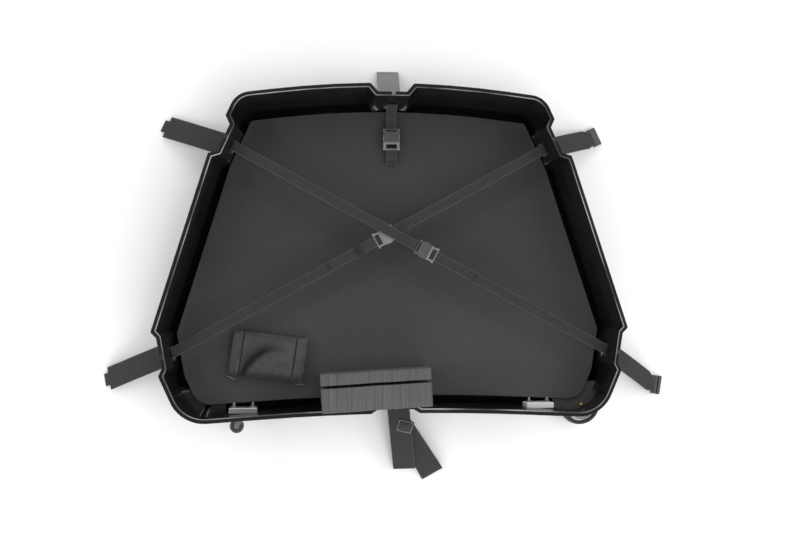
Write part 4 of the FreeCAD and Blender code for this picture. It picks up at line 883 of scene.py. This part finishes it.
def bar(shape, line, ends, half, low, high):
    middle = line.middle + line.along * ((ends[0] + ends[1]) / 2.0) + UP * ((low + high) / 2.0)
    turn = Matrix((line.along, line.side, UP)).transposed().to_4x4()
    size = Matrix.Diagonal((ends[1] - ends[0], 2.0 * half, high - low, 1.0))
    added = bmesh.ops.create_cube(shape, size=1.0, matrix=Matrix.Translation(middle) @ turn @ size)["verts"]
    edges = {edge for vert in added for edge in vert.link_edges}
    round_edges(shape, list(edges), 0.3 * (high - low), 2)


def sunk_panel(shape, line, top):
    for edge in (-PANEL_HALF, PANEL_HALF):
        split(shape, line.middle + line.side * edge, line.side)
    for edge in PANEL_ENDS:
        split(shape, line.middle + line.along * edge, line.along)
    chosen = []
    for face in shape.faces:
        away = face.calc_center_median() - line.middle
        inside = PANEL_ENDS[0] < away.dot(line.along) < PANEL_ENDS[1]
        inside = inside and abs(away.dot(line.side)) < PANEL_HALF
        if inside and face.normal.z > PANEL_FACING and away.z > top - PANEL_NEAR:
            chosen.append(face)
    bmesh.ops.inset_region(shape, faces=chosen, thickness=PANEL_EDGE, depth=-PANEL_DEPTH,
                           use_even_offset=True, use_boundary=True)
    rib = (PANEL_ENDS[0] + RIB_INSET, PANEL_ENDS[1] - RIB_INSET)
    bar(shape, line, rib, RIB_HALF, top - 2.0 * PANEL_DEPTH, top)


def moulded(node, name, body, line, sides, finish):
    made = hard_copy(node, name, BUCKLE_EDGE, 3, any_sharp)
    shape = opened(made.data)
    for cut in BUCKLE_CUTS:
        split(shape, line.middle + line.along * cut, line.along)
    top = max(vert.co.z for vert in shape.verts) - line.middle.z
    ends = [(vert.co - line.middle).dot(line.along) for vert in shape.verts]
    cross = (max(ends) - BAR_FAR, max(ends) - BAR_NEAR)
    if max(ends) < SOCKET_END:
        sunk_panel(shape, line, top)
        cross = (min(ends) + BAR_NEAR, min(ends) + BAR_FAR)
    bar(shape, line, cross, BAR_HALF, BAR_OVER, top - SKIN)
    for vert in shape.verts:
        away = vert.co - line.middle
        q = away.dot(line.side)
        beyond = max(abs(q) - CORE_HALF, 0.0)
        wide = (side_at(sides, away.dot(line.along)) - CORE_HALF) * line.slim
        drawn = beyond * wide / (BUCKLE_HALF - CORE_HALF) - beyond
        vert.co += line.side * math.copysign(drawn, q)
        if abs(away.z) > CROWN_FROM:
            vert.co.z -= away.z * CROWN * (q / BUCKLE_HALF) ** 2
    smoothed(shape, made.data, SHARP_ANGLE)
    even_normals(made)
    dress(made, finish, "buckle_plastic", body, node)


# painted highlight: every plug, and buckle b's socket, take the paler acetal
for key, socket_finish in (("a", dark_acetal), ("b", pale_acetal_and_highlight), ("top", dark_acetal)):
    line = LineFrame(key)
    moulded("buckle_socket_" + key, "buckle_socket_shell_" + key, "case", line, SOCKET_SIDES, socket_finish)
    moulded("buckle_plug_" + key, "buckle_plug_shell_" + key, "plug_" + key, line, PLUG_SIDES, pale_acetal_and_highlight)
edged("webbing_keeper", "keeper_slider", KEEPER_EDGE, keeper_nylon, "buckle_plastic", "keeper")


# Crossed inner straps: black 25 mm webbing, riveted to the walls at both ends. Each has a short
# half sewn to a buckle socket and a long half threaded through the plug, with a loose tail.

WEB_T = 0.0016
WEB_COLUMNS = 4
INNER_STEP = 0.006
BAR_CLEAR = 0.0028
BAR_RISE = 0.0001
SOCKET_BAR = -0.0323
PLUG_BAR = 0.018
SAG = 0.0006
LAP_DROP = -0.0018
LAP_ENDS = (-0.048, -0.06, -0.075)
SEWN_BOX = ((-0.058, 0.0004), (-0.074, 0.0002))
SEWN_INSET = 0.003
TAIL_CLEAR = 0.02
FAST_CLEAR = 0.012
INNER_RIB = 0.0012
INNER_PICK = 0.0018
WALL_STACK = 0.0048
BAR_TO_WALL = 0.00736
INNER_DARK = (0.006, 0.006, 0.0063)
INNER_LIGHT = (0.022, 0.022, 0.0225)
ANCHOR_Z = 0.062
WALL_LEAN = math.radians(10.0)

inner_cloth = webbing("inner_webbing", INNER_DARK, INNER_LIGHT, INNER_RIB, INNER_PICK)


class WallFrame:
    def __init__(self, wall):
        joint = joints["strap_%s_swing" % wall]
        side = Vector(joint["axis"]).normalized()
        self.side = side
        self.out = Vector((-side.y, side.x, 0.0))
        self.up = self.out * math.sin(WALL_LEAN) + UP * math.cos(WALL_LEAN)
        inward = self.up.cross(side)
        if inward.dot(self.out) > 0.0:
            inward = -inward
        bar = Vector(joint["pos_m"])
        self.foot = Vector((bar.x, bar.y, ANCHOR_Z)) - self.out * BAR_TO_WALL + inward * WALL_STACK

    def rails(self, lift, half, flip):
        spot = self.foot + self.up * lift
        return (spot - self.side * half * flip, spot + self.side * half * flip)


def wall_reach(line, wall, level):
    # how far along the line the wall webbing stands at that height
    spot = line.middle + UP * level
    lift = (spot.z - wall.foot.z) / wall.up.z
    return ((wall.foot + wall.up * lift) - spot).dot(wall.out) / line.along.dot(wall.out)


def spline(points, step):
    # evenly spaced stations on a smooth line through pairs of edge points
    made = []
    last = len(points) - 1
    for k in range(last):
        a, b, c, d = points[max(k - 1, 0)], points[k], points[k + 1], points[min(k + 2, last)]
        parts = max(int(((b[0] + b[1]) - (c[0] + c[1])).length / 2.0 / step), 1)
        for n in range(parts):
            t = n / parts
            pair = []
            for i in range(2):
                bend = 2.0 * a[i] - 5.0 * b[i] + 4.0 * c[i] - d[i]
                twist = 3.0 * b[i] - a[i] - 3.0 * c[i] + d[i]
                pair.append(0.5 * (2.0 * b[i] + (c[i] - a[i]) * t + bend * t * t + twist * t * t * t))
            made.append(tuple(pair))
    made.append(points[-1])
    return made


def up_wall(wall, line, level):
    # from the wall tab up to the height of the line, with both edges the same way round
    flip = -1.0 if wall.side.dot(line.side) < 0.0 else 1.0
    rise = (line.middle.z + level - wall.foot.z) / wall.up.z
    lifts = (0.0005, 0.006, 0.012, rise - 0.006, rise - 0.0025)
    return [wall.rails(lift, WEB_HALF, flip) for lift in lifts]


def round_socket(line, rise=0.0):
    turn = ((-0.006, BAR_CLEAR), (0.0, BAR_CLEAR + rise), (0.0027, 0.0017), (0.0034, 0.0), (0.0027, -0.0017),
            (0.0, -BAR_CLEAR), (-0.006, -BAR_CLEAR))
    return [line.rails(SOCKET_BAR + p, level) for p, level in turn]


def round_plug(line):
    turn = ((-0.001, -BAR_CLEAR), (-0.0036, -0.0017), (-0.0042, 0.0), (-0.0036, 0.0017), (-0.001, BAR_CLEAR))
    return [line.rails(PLUG_BAR + p, level) for p, level in turn]


def inner_piece(points, step, name, body, node):
    shape = new_cloth()
    lay_strip(shape, spline(points, step), WEB_COLUMNS)
    made = cloth_piece(shape, name, WEB_T)
    dress(made, inner_cloth, "inner_webbing", body, node)
    return made


for key in ("a", "b"):
    line = LineFrame(key)
    near = WallFrame(LINES[key]["near"])
    far = WallFrame(LINES[key]["far"])
    start = wall_reach(line, near, 0.0)
    run = ((start + 0.0035, 0.0), (start + 0.012, 0.0), (start + 0.1, -SAG), (-0.2, -0.0008), (-0.06, 0.0),
           (-0.048, 0.0008))
    points = up_wall(near, line, 0.0) + [line.rails(p, level) for p, level in run]
    points += round_socket(line, BAR_RISE) + [line.rails(p, LAP_DROP) for p in LAP_ENDS]
    inner_piece(points, INNER_STEP, "inner_strap_%s_short" % key, "case", "webbing_%s_upper" % key)

    shape = bmesh.new()
    (a, b), (c, d) = (line.rails(p, WEB_T / 2.0 + lift, WEB_HALF - SEWN_INSET) for p, lift in SEWN_BOX)
    for first, second in ((a, b), (b, d), (d, c), (c, a), (a, d), (b, c)):
        sew(shape, first, second, UP)
    sewn = piece_from(shape, "inner_stitches_" + key, STITCH_SHARP)
    dress(sewn, thread, "inner_webbing", "case")

    stop = wall_reach(line, far, -BAR_CLEAR)
    free = LINES[key]["free"]
    tail = LINES[key]["tail"] + TAIL_CLEAR
    curl = LINES[key]["curl"]
    run = ((stop - 0.0035, 0.0), (stop - 0.012, 0.0), (stop - 0.12, -SAG), (free, -0.0008), (0.16, 0.0),
           (0.06, 0.0), (0.024, 0.0))
    end = ((0.03, 0.0), (0.6 * tail, 0.0), (0.85 * tail, 0.2 * curl), (tail, curl))
    points = up_wall(far, line, -BAR_CLEAR) + [line.rails(p, level - BAR_CLEAR) for p, level in run]
    points += round_plug(line) + [line.rails(p, BAR_CLEAR + level) for p, level in end]
    cloth = inner_piece(points, INNER_STEP, "inner_strap_%s_long" % key, None, "webbing_%s_lower" % key)
    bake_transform(cloth, "case", "plug_" + key, line.middle + line.along * free,
             line.middle + line.along * (tail + FAST_CLEAR))


# Hold-down at the top edge: the same webbing, down from the wall on to the mat, through a buckle
# and back underneath to the wall, to hold a packed item against the tray.

HOLD_X, HOLD_BUCKLE_Y, HOLD_Z = LINES["top"]["middle"]
HOLD_END_Y = 0.227
HOLD_FLOOR = 0.0491
HOLD_STEP = 0.005
HOLD_LIFTS = (0.0005, 0.008, 0.016, 0.022)
HOLD_PEAK = 0.027
HOLD_FOOT = 0.0012
HOLD_FREE_Y = 0.35
HOLD_FAST_Y = 0.275

line = LineFrame("top")


def hold(*spots):
    return [line.rails(HOLD_BUCKLE_Y - y, z - HOLD_Z) for y, z in spots]


top = WallFrame("top")
points = []
for lift in HOLD_LIFTS:
    spot = top.foot + top.up * lift
    points += hold((spot.y, spot.z))
peak = top.foot + top.up * HOLD_PEAK
points += hold((peak.y - 0.0002, peak.z), (peak.y - 0.0030, peak.z + 0.0016),
               (peak.y - 0.0062, peak.z - 0.0015))
points += hold((0.352, 0.0695), (0.344, 0.0602), (0.337, 0.0573), (0.328, HOLD_Z + 0.0006))
points += round_socket(line) + hold((0.328, HOLD_Z - 0.0013), (0.336, HOLD_Z - 0.0008))
inner_piece(points, HOLD_STEP, "hold_down_short", "case", "hold_down_upper")

low = top.foot - top.up * HOLD_FOOT
under = HOLD_Z - BAR_CLEAR
plug_y = HOLD_BUCKLE_Y - PLUG_BAR
points = hold((low.y, low.z), (low.y - 0.0011, low.z - 0.006), (low.y - 0.0028, HOLD_FLOOR + 0.0022))
points += hold((low.y - 0.0075, HOLD_FLOOR), (0.30, HOLD_FLOOR), (HOLD_END_Y + 0.004, HOLD_FLOOR))
points += hold((HOLD_END_Y, HOLD_FLOOR), (HOLD_END_Y - 0.0024, HOLD_FLOOR + 0.0026), (HOLD_END_Y, under))
points += hold((HOLD_END_Y + 0.012, under), (plug_y - 0.006, under)) + round_plug(line)
points += hold((plug_y - 0.012, HOLD_Z + BAR_CLEAR), (HOLD_END_Y + 0.006, HOLD_Z + BAR_CLEAR + 0.0012))
cloth = inner_piece(points, HOLD_STEP, "hold_down_long", None, "hold_down_loop")
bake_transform(cloth, "case", "plug_top", (HOLD_X, HOLD_FREE_Y, HOLD_Z), (HOLD_X, HOLD_FAST_Y, HOLD_Z))


# Foam block: a warm grey foam piece on the mat, with a slot along its top and a flap that lies
# over the rim. It is cut from sheet, so its faces show the fine lines of the blade.

BLOCK_DARK = (0.052, 0.050, 0.048)
BLOCK_LIGHT = (0.125, 0.120, 0.115)
BLOCK_TURN = math.radians(2.8)
BLOCK_EDGE = 0.0016
BLOCK_STEP = 0.012
BLOCK_WAVE = 0.0005
BLOCK_DENT = 0.0010
BLOCK_SOFT = 0.02
CUT_LINES = (330.0, 6.0, 6.0)

block_finish, tree, shader = surface("block_foam", BLOCK_LIGHT, 0.9)
place = wire(tree, "ShaderNodeTexCoord", {})
turned = wire(tree, "ShaderNodeMapping", {"Vector": place.outputs["Object"],
                                          "Rotation": (0.0, 0.0, -BLOCK_TURN), "Scale": CUT_LINES})
blade = cloudy(tree, turned.outputs["Vector"], 1.0, 3.0)
foam = placed(tree, FOAM, {"Scale": 700.0})
speckle = spread(tree, foam.outputs["Speckle"], 0.0, 0.3)
shade = sums(tree, "ADD", spread(tree, blade, 0.0, 0.7, 0.3, 0.7), speckle)
tree.links.new(tint(tree, shade, BLOCK_DARK, BLOCK_LIGHT), shader.inputs["Base Color"])
tree.links.new(spread(tree, foam.outputs["Broad"], 0.8, 0.98), shader.inputs["Roughness"])
pores = sums(tree, "MULTIPLY", foam.outputs["Cells"], 0.4)
relief(tree, shader, sums(tree, "ADD", blade, pores), 0.0006)

block = hard_copy("chainring_block", "foam_block_body", BLOCK_EDGE, 3, any_sharp)
shape = opened(block.data)
low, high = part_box("chainring_block")
slice_up(shape, ALONG_X, low.x, high.x, BLOCK_STEP)
for vert in shape.verts:
    drift = Vector((vert.co.x * 22.0, vert.co.y * 3.0, vert.co.z * 3.0))
    vert.co.y += BLOCK_WAVE * noise.noise(drift)
    if vert.co.z > high.z - BLOCK_SOFT:
        vert.co.z -= BLOCK_DENT * abs(noise.noise(drift * 1.7))
closed(shape, block.data)
dress(block, block_finish, "block_foam", "foam_block", "chainring_block")


# Parts pouch: a soft black nylon sleeve with a sewn hem band at each end and a cord in each hem.
# The cloth stands up round its fill and is creased, its ends lie flat on the mat, and the loops of
# the cords are tacked down.

POUCH_LENGTH = 0.182
POUCH_WIDTH = 0.110
POUCH_AT = Vector((-0.308, -0.254, 0.0))
POUCH_TURN = Matrix.Rotation(math.radians(-8.0), 4, "Z")
POUCH_REST = 0.0485
POUCH_START = 0.016
POUCH_CELL = 0.0055
POUCH_CAP = 0.011
POUCH_FRAMES = 20
POUCH_RUFFLE = 0.0006
SIDE_ROUND = 0.02
HEM = 0.026
HEM_RISE = 0.0011
HEM_FLATTEN = 0.03
SEAM_WIDTH = 0.0018
BULGE = 0.0042
BULGE_AT = (0.008, -0.018)
BULGE_SIZE = (0.036, 0.018)
RUMPLE = 0.0010
FOLD_DEPTH = 0.0095
FOLD_NEAR = 0.0075
FOLD_FAR = 0.017
FOLD_END = 0.045
FOLD_RUN = 0.103
FOLD_TOP = 0.021
FOLD_FALL = 0.0745
FOLD_CURVE = 3.1
NYLON_DARK = (0.005, 0.005, 0.0052)
NYLON_LIGHT = (0.080, 0.080, 0.081)
CORD_R = 0.0012
CORD_DARK = (0.030, 0.030, 0.0305)
CORD_SHINE = (0.105, 0.105, 0.106)
CORD_GREY = (0.34, 0.34, 0.34)
CORD_LOOPS = (
    ((-0.0925, -0.0610), (-0.0880, -0.0585), (-0.0845, -0.0540), (-0.0825, -0.0470), (-0.0785, -0.0340),
     (-0.0730, -0.0185), (-0.0712, -0.0178), (-0.0706, -0.0195), (-0.0715, -0.0340), (-0.0730, -0.0500)),
    ((0.0645, -0.0524), (0.0668, -0.033), (0.0688, -0.0162), (0.0698, -0.0155), (0.0712, -0.0168),
     (0.0785, -0.030), (0.0850, -0.0445), (0.0885, -0.0530), (0.0940, -0.0572), (0.0985, -0.0570)),
)
CORD_ENDS = (((-0.0925, -0.0610), (-0.083, -0.0640), (-0.073, -0.0672)),
             ((0.0790, -0.0618), (0.0885, -0.0594), (0.0985, -0.0570)))

nylon, tree, shader = surface("pouch_nylon", NYLON_LIGHT, 0.45)
node = placed(tree, WEAVE, {"Rib": 0.0007, "Pick": 0.0009})
grain = grain_node(tree, 90.0)
# Painted shade: the cloth is painted darker, and made rougher, along the crease and in the hem seam grooves.
crease_shade = wire(tree, "ShaderNodeAttribute", {}, attribute_name="crease_shade").outputs["Fac"]
shade = sums(tree, "MULTIPLY", node.outputs["Thread Shade"], spread(tree, grain.outputs["Broad"], 0.6, 1.2))
shade = sums(tree, "MULTIPLY", shade, spread(tree, crease_shade, 1.0, 0.04))
tree.links.new(tint(tree, shade, NYLON_DARK, NYLON_LIGHT), shader.inputs["Base Color"])
dulled = spread(tree, crease_shade, 0.0, 0.4)
satin = sums(tree, "ADD", spread(tree, grain.outputs["Fine"], 0.38, 0.56), dulled)
tree.links.new(satin, shader.inputs["Roughness"])
relief(tree, shader, node.outputs["Height"], 0.0001)
shader.inputs["Specular IOR Level"].default_value = 0.22
shader.inputs["Sheen Weight"].default_value = 0.04

hem_line = POUCH_LENGTH / 2.0 - HEM
shape = bmesh.new()
bmesh.ops.create_cube(shape, size=1.0, matrix=Matrix.Diagonal((POUCH_LENGTH, POUCH_WIDTH, POUCH_START, 1.0)))
for axis, size in ((ALONG_X, POUCH_LENGTH), (ALONG_Y, POUCH_WIDTH), (UP, POUCH_START)):
    slice_up(shape, axis, -size / 2.0, size / 2.0, POUCH_CELL)
for vert in shape.verts:
    vert.co.z += POUCH_RUFFLE * noise.noise(vert.co * 60.0)
pouch = piece_from(shape, "pouch_sleeve", ALL_SMOOTH)
before = [vert.co.copy() for vert in pouch.data.vertices]
blown = pouch.modifiers.new("blown", "CLOTH")
blown.settings.quality = 6
blown.settings.mass = 0.25
blown.settings.tension_stiffness = 12.0
blown.settings.compression_stiffness = 12.0
blown.settings.bending_stiffness = 0.4
blown.settings.use_pressure = True
blown.settings.uniform_pressure_force = 4.0
blown.settings.effector_weights.gravity = 0.0
blown.point_cache.frame_end = POUCH_FRAMES
for step in range(1, POUCH_FRAMES + 1):
    bpy.context.scene.frame_set(step)
settle(pouch)
bpy.context.scene.frame_set(1)
for vert, was in zip(pouch.data.vertices, before):
    moved = vert.co - was
    if moved.length > POUCH_CAP:
        moved = moved.normalized() * POUCH_CAP
    vert.co = was + Vector((0.0, 0.0, moved.z))
    corner = max(abs(was.y) - (POUCH_WIDTH / 2.0 - SIDE_ROUND), 0.0) / SIDE_ROUND
    vert.co.z *= 1.0 - 0.55 * corner ** 2

shape = opened(pouch.data)
for side in (-1.0, 1.0):
    for shift in (-2.0, -1.0, 0.0, 1.0, 2.0):
        split(shape, ALONG_X * (side * hem_line + shift * SEAM_WIDTH), ALONG_X)
crease_shade_layer = shape.verts.layers.float.new("crease_shade")


def fold_at(x, y):
    # how deep the creased cloth lies there, and how dark its painted shade is: steep from the left hem, then
    # fading towards the right
    run = max(FOLD_END - x, 0.0) / FOLD_RUN
    slope = FOLD_FALL * FOLD_CURVE / FOLD_RUN * run ** (FOLD_CURVE - 1.0)
    away = (y - FOLD_TOP + FOLD_FALL * run ** FOLD_CURVE) / math.hypot(1.0, slope)
    wide = FOLD_FAR if away > 0.0 else FOLD_NEAR
    reach = min(run / 0.55, 1.0) * min(max((hem_line + x) / 0.008, 0.0), 1.0)
    return reach * math.exp(-(away / wide) ** 2)


for vert in shape.verts:
    x, y, z = vert.co
    ends = min(max(abs(x) - (hem_line - HEM_FLATTEN), 0.0) / (HEM + HEM_FLATTEN), 1.0)
    groove = math.exp(-((abs(x) - hem_line) / SEAM_WIDTH) ** 2)
    crease = fold_at(x, y) if z > 0.0 else 0.0
    # the painted shade mask: strongest in the seam grooves and along the crease
    vert[crease_shade_layer] = max(groove, crease)
    vert.co.z *= (1.0 - 0.6 * ends ** 1.3) * (1.0 - 0.22 * groove)
    if z > 0.0:
        vert.co.z -= FOLD_DEPTH * crease
        far_x = (x - BULGE_AT[0]) / BULGE_SIZE[0]
        far_y = (y - BULGE_AT[1]) / BULGE_SIZE[1]
        vert.co.z += BULGE * math.exp(-far_x ** 2 - far_y ** 2)
        vert.co.z += RUMPLE * noise.noise(Vector((x * 26.0, y * 40.0, 1.0)))
        if abs(x) > hem_line + SEAM_WIDTH:
            vert.co.z += HEM_RISE + POUCH_RUFFLE * math.sin(y * 160.0)
lowest = min(vert.co.z for vert in shape.verts)
for vert in shape.verts:
    spot = POUCH_TURN @ vert.co
    lift = POUCH_REST + max(vert.co.z - lowest * 0.75, 0.0)
    vert.co = Vector((spot.x + POUCH_AT.x, spot.y + POUCH_AT.y, lift))
closed(shape, pouch.data)
soft = pouch.modifiers.new("soft", "SUBSURF")
soft.levels = 1
soft.render_levels = 1
settle(pouch)
dress(pouch, nylon, "pouch_fabric", "pouch", "parts_pouch")

cloth_top = BVHTree.FromPolygons([vert.co for vert in pouch.data.vertices],
                                 [face.vertices[:] for face in pouch.data.polygons])


def tacked_cord(name, runs, radius, finish):
    curve = bpy.data.curves.new(name, "CURVE")
    curve.dimensions = "3D"
    curve.bevel_depth = radius
    curve.bevel_resolution = 2
    curve.use_fill_caps = True
    for run in runs:
        bent = curve.splines.new("NURBS")
        bent.points.add(len(run) - 1)
        bent.use_endpoint_u = True
        bent.order_u = 3
        for point, (x, y) in zip(bent.points, run):
            spot = POUCH_TURN @ Vector((x, y, 0.0)) + POUCH_AT
            hit = cloth_top.ray_cast(Vector((spot.x, spot.y, 0.3)), -UP)[0]
            level = max(hit.z if hit else 0.0, POUCH_REST)
            point.co = (spot.x, spot.y, level + radius * 0.8, 1.0)
    bent_cord = stand(name, curve)
    made = bpy.data.meshes.new_from_object(bent_cord.evaluated_get(bpy.context.evaluated_depsgraph_get()))
    bpy.data.objects.remove(bent_cord)
    bpy.data.curves.remove(curve)
    for face in made.polygons:
        face.use_smooth = True
    dress(stand(name, made), finish, "pouch_fabric", "pouch")


cord = grained("hem_cord", CORD_DARK, CORD_SHINE, 1100.0, 0.0002)
cord_tip = grained("cord_tip", CORD_SHINE, CORD_GREY, 1500.0, 0.0001)
tacked_cord("hem_cords", CORD_LOOPS, CORD_R, cord)
tacked_cord("cord_tips", CORD_ENDS, 1.2 * CORD_R, cord_tip)


# Corner wheel: a black rubber tyre pressed on a chromed spoked hub. It turns on a steel shoulder
# axle that goes up through the housing and is held there by a brass domed nut.

WHEEL = Vector(joints["wheel_spin"]["pos_m"])
TYRE_BLACK = (0.010, 0.010, 0.0102)
TYRE_WORN = (0.030, 0.029, 0.028)
TYRE_DEEP = 0.011
TYRE_STEPS = 96
TYRE_SHARP = 40.0
HUB_EDGE = 0.0007
CHROME = (0.88, 0.88, 0.90)
CHROME_DULL = (0.70, 0.70, 0.72)
BRASS = (0.72, 0.50, 0.20)
BRASS_DULL = (0.50, 0.33, 0.12)

rubber = grained("tyre_rubber", TYRE_BLACK, TYRE_WORN, 700.0, 0.0002, "Broad", (0.55, 0.85))
tyre_low, tyre_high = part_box("wheel_tyre")
outer = (tyre_high.x - tyre_low.x) / 2.0
inner = outer - TYRE_DEEP
half = (tyre_high.z - tyre_low.z) / 2.0
side = [(inner, half - 0.0026), (inner + 0.002, half - 0.0009), (inner + 0.0052, half),
        (outer - 0.0052, half), (outer - 0.0024, half - 0.0016), (outer - 0.0009, half - 0.0046),
        (outer - 0.0001, half - 0.009), (outer, 0.0024), (outer - 0.0009, 0.0014), (outer - 0.0010, 0.0)]
shape = bmesh.new()
profile = side + [(r, -z) for r, z in reversed(side[:-1])]
ring = [shape.verts.new((r, 0.0, z)) for r, z in profile]
rim = [shape.edges.new((ring[k], ring[(k + 1) % len(ring)])) for k in range(len(ring))]
bmesh.ops.spin(shape, geom=ring + rim, cent=(0, 0, 0), axis=(0, 0, 1), angle=2.0 * math.pi,
               steps=TYRE_STEPS, use_merge=True)
bmesh.ops.recalc_face_normals(shape, faces=shape.faces)
bmesh.ops.translate(shape, vec=(WHEEL.x, WHEEL.y, (tyre_low.z + tyre_high.z) / 2.0), verts=shape.verts)
tyre = piece_from(shape, "wheel_tyre_rubber", TYRE_SHARP)
dress(tyre, rubber, "tyre_rubber", "wheel", "wheel_tyre")

chrome = metal("hub_chrome", CHROME, CHROME_DULL, 0.14, 0.28)
edged("wheel_hub", "wheel_hub_chrome", HUB_EDGE, chrome, "hub_chrome", "wheel")
refinish(zinc, "wheel_axle", "wheel_spacer")
refinish(metal("brass_nut", BRASS, BRASS_DULL, 0.14, 0.3), "wheel_cap_nut")


# Caster and mounting pads: a plated swivel fork with a grey rubber roller on the left pad, bolted
# through to an aluminium block inside. The right pad has the same block with a plain outer plate.

PLATED = (0.55, 0.55, 0.56)
PLATED_DULL = (0.33, 0.33, 0.34)
ROLLER_DARK = (0.04, 0.039, 0.037)
ROLLER_PALE = (0.10, 0.097, 0.093)
ALLOY = (0.60, 0.60, 0.61)
ALLOY_DULL = (0.42, 0.42, 0.43)
ALLOY_HIGHLIGHT = (0.82, 0.82, 0.83)
ALLOY_HIGHLIGHT_GREY = (0.58, 0.58, 0.59)
PAD_EDGE = 0.0008

plated = metal("plated_steel", PLATED, PLATED_DULL, 0.2, 0.38)
refinish(plated, "caster_plate", "caster_fork", "caster_axle")
roller = grained("caster_rubber", ROLLER_DARK, ROLLER_PALE, 800.0, 0.0002, "Broad", (0.5, 0.8))
refinish(roller, "caster_wheel")
alloy = metal("block_aluminium", ALLOY, ALLOY_DULL, 0.3, 0.5)
# Painted highlight: the right block is painted paler than the identical left one, as if more light falls on
# it.
alloy_painted_highlight = metal("aluminium_painted_highlight", ALLOY_HIGHLIGHT, ALLOY_HIGHLIGHT_GREY, 0.4, 0.6, 0.4)
for pad, finish in (("left", alloy), ("right", alloy_painted_highlight)):
    edged("backing_block_" + pad, "pad_block_" + pad, PAD_EDGE, finish, "block_aluminium", "case")
    refinish(zinc, "bolts_" + pad, "nuts_" + pad)
refinish(alloy, "cover_plate_right")


# Studio: a round sheet of white paper under the case, with wide soft lights on all sides.
# The camera looks down from almost straight above the open tray.

FLOOR_WHITE = (0.95, 0.95, 0.95)
FLOOR_R = 2.1
FLOOR_DROP = 0.0012
LIGHT_WIDE = 2.6
LIGHT_AIM = Vector((0.0, 0.0, 0.05))
LIGHTS = (
    ("light_left", (-2.6, 0.3, 1.7), 24.0, 0.9),
    ("light_right", (2.6, 0.2, 1.7), 24.0, 0.9),
    ("light_back", (0.0, 2.6, 1.8), 19.0, 0.9),
    ("light_front", (0.2, -2.6, 1.6), 26.0, 0.9),
    ("light_top", (1.0, -1.1, 3.1), 35.0, 2.6),
)
SKY_SIDE = 1.0
SKY_TOP = 0.3
CAMERA_AT = (-0.2356, -0.1817, 2.5579)
CAMERA_TURN = (0.06, -0.102, -0.010)

shape = bmesh.new()
bmesh.ops.create_circle(shape, cap_ends=True, segments=128, radius=FLOOR_R,
                        matrix=Matrix.Translation((0.0, 0.0, -FLOOR_DROP)))
floor = piece_from(shape, "studio_floor")
floor.data.materials.append(surface("studio_paper", FLOOR_WHITE, 0.9)[0])
floor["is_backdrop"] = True

for name, spot, power, deep in LIGHTS:
    lamp = bpy.data.lights.new(name, "AREA")
    lamp.energy = power
    lamp.shape = "RECTANGLE"
    lamp.size = LIGHT_WIDE
    lamp.size_y = deep
    holder = stand(name, lamp)
    holder.location = spot
    holder.rotation_mode = "QUATERNION"
    holder.rotation_quaternion = (LIGHT_AIM - Vector(spot)).to_track_quat("-Z", "Y")
    holder.visible_glossy = deep < 1.0

world = bpy.data.worlds.new("studio_air")
world.use_nodes = True
tree = world.node_tree
sky = wire(tree, "ShaderNodeTexCoord", {})
level = wire(tree, "ShaderNodeSeparateXYZ", {0: sky.outputs["Generated"]})
fade = spread(tree, level.outputs["Z"], SKY_SIDE, SKY_TOP, 0.35, 0.85)
tree.links.new(fade, tree.nodes["Background"].inputs["Strength"])
tree.nodes["Background"].inputs["Color"].default_value = (1.0, 1.0, 1.0, 1.0)
bpy.context.scene.world = world
bpy.context.scene.view_settings.view_transform = "Standard"

camera = bpy.data.cameras.new("camera")
camera.lens = 45.0
camera.sensor_width = 36.0
view = stand("camera", camera)
view.location = CAMERA_AT
turn = (Matrix.Rotation(CAMERA_TURN[2], 3, "Z") @ Matrix.Rotation(CAMERA_TURN[1], 3, "Y")
        @ Matrix.Rotation(CAMERA_TURN[0], 3, "X"))
view.rotation_mode = "QUATERNION"
view.rotation_quaternion = turn.to_quaternion()
bpy.context.scene.camera = view

low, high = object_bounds()
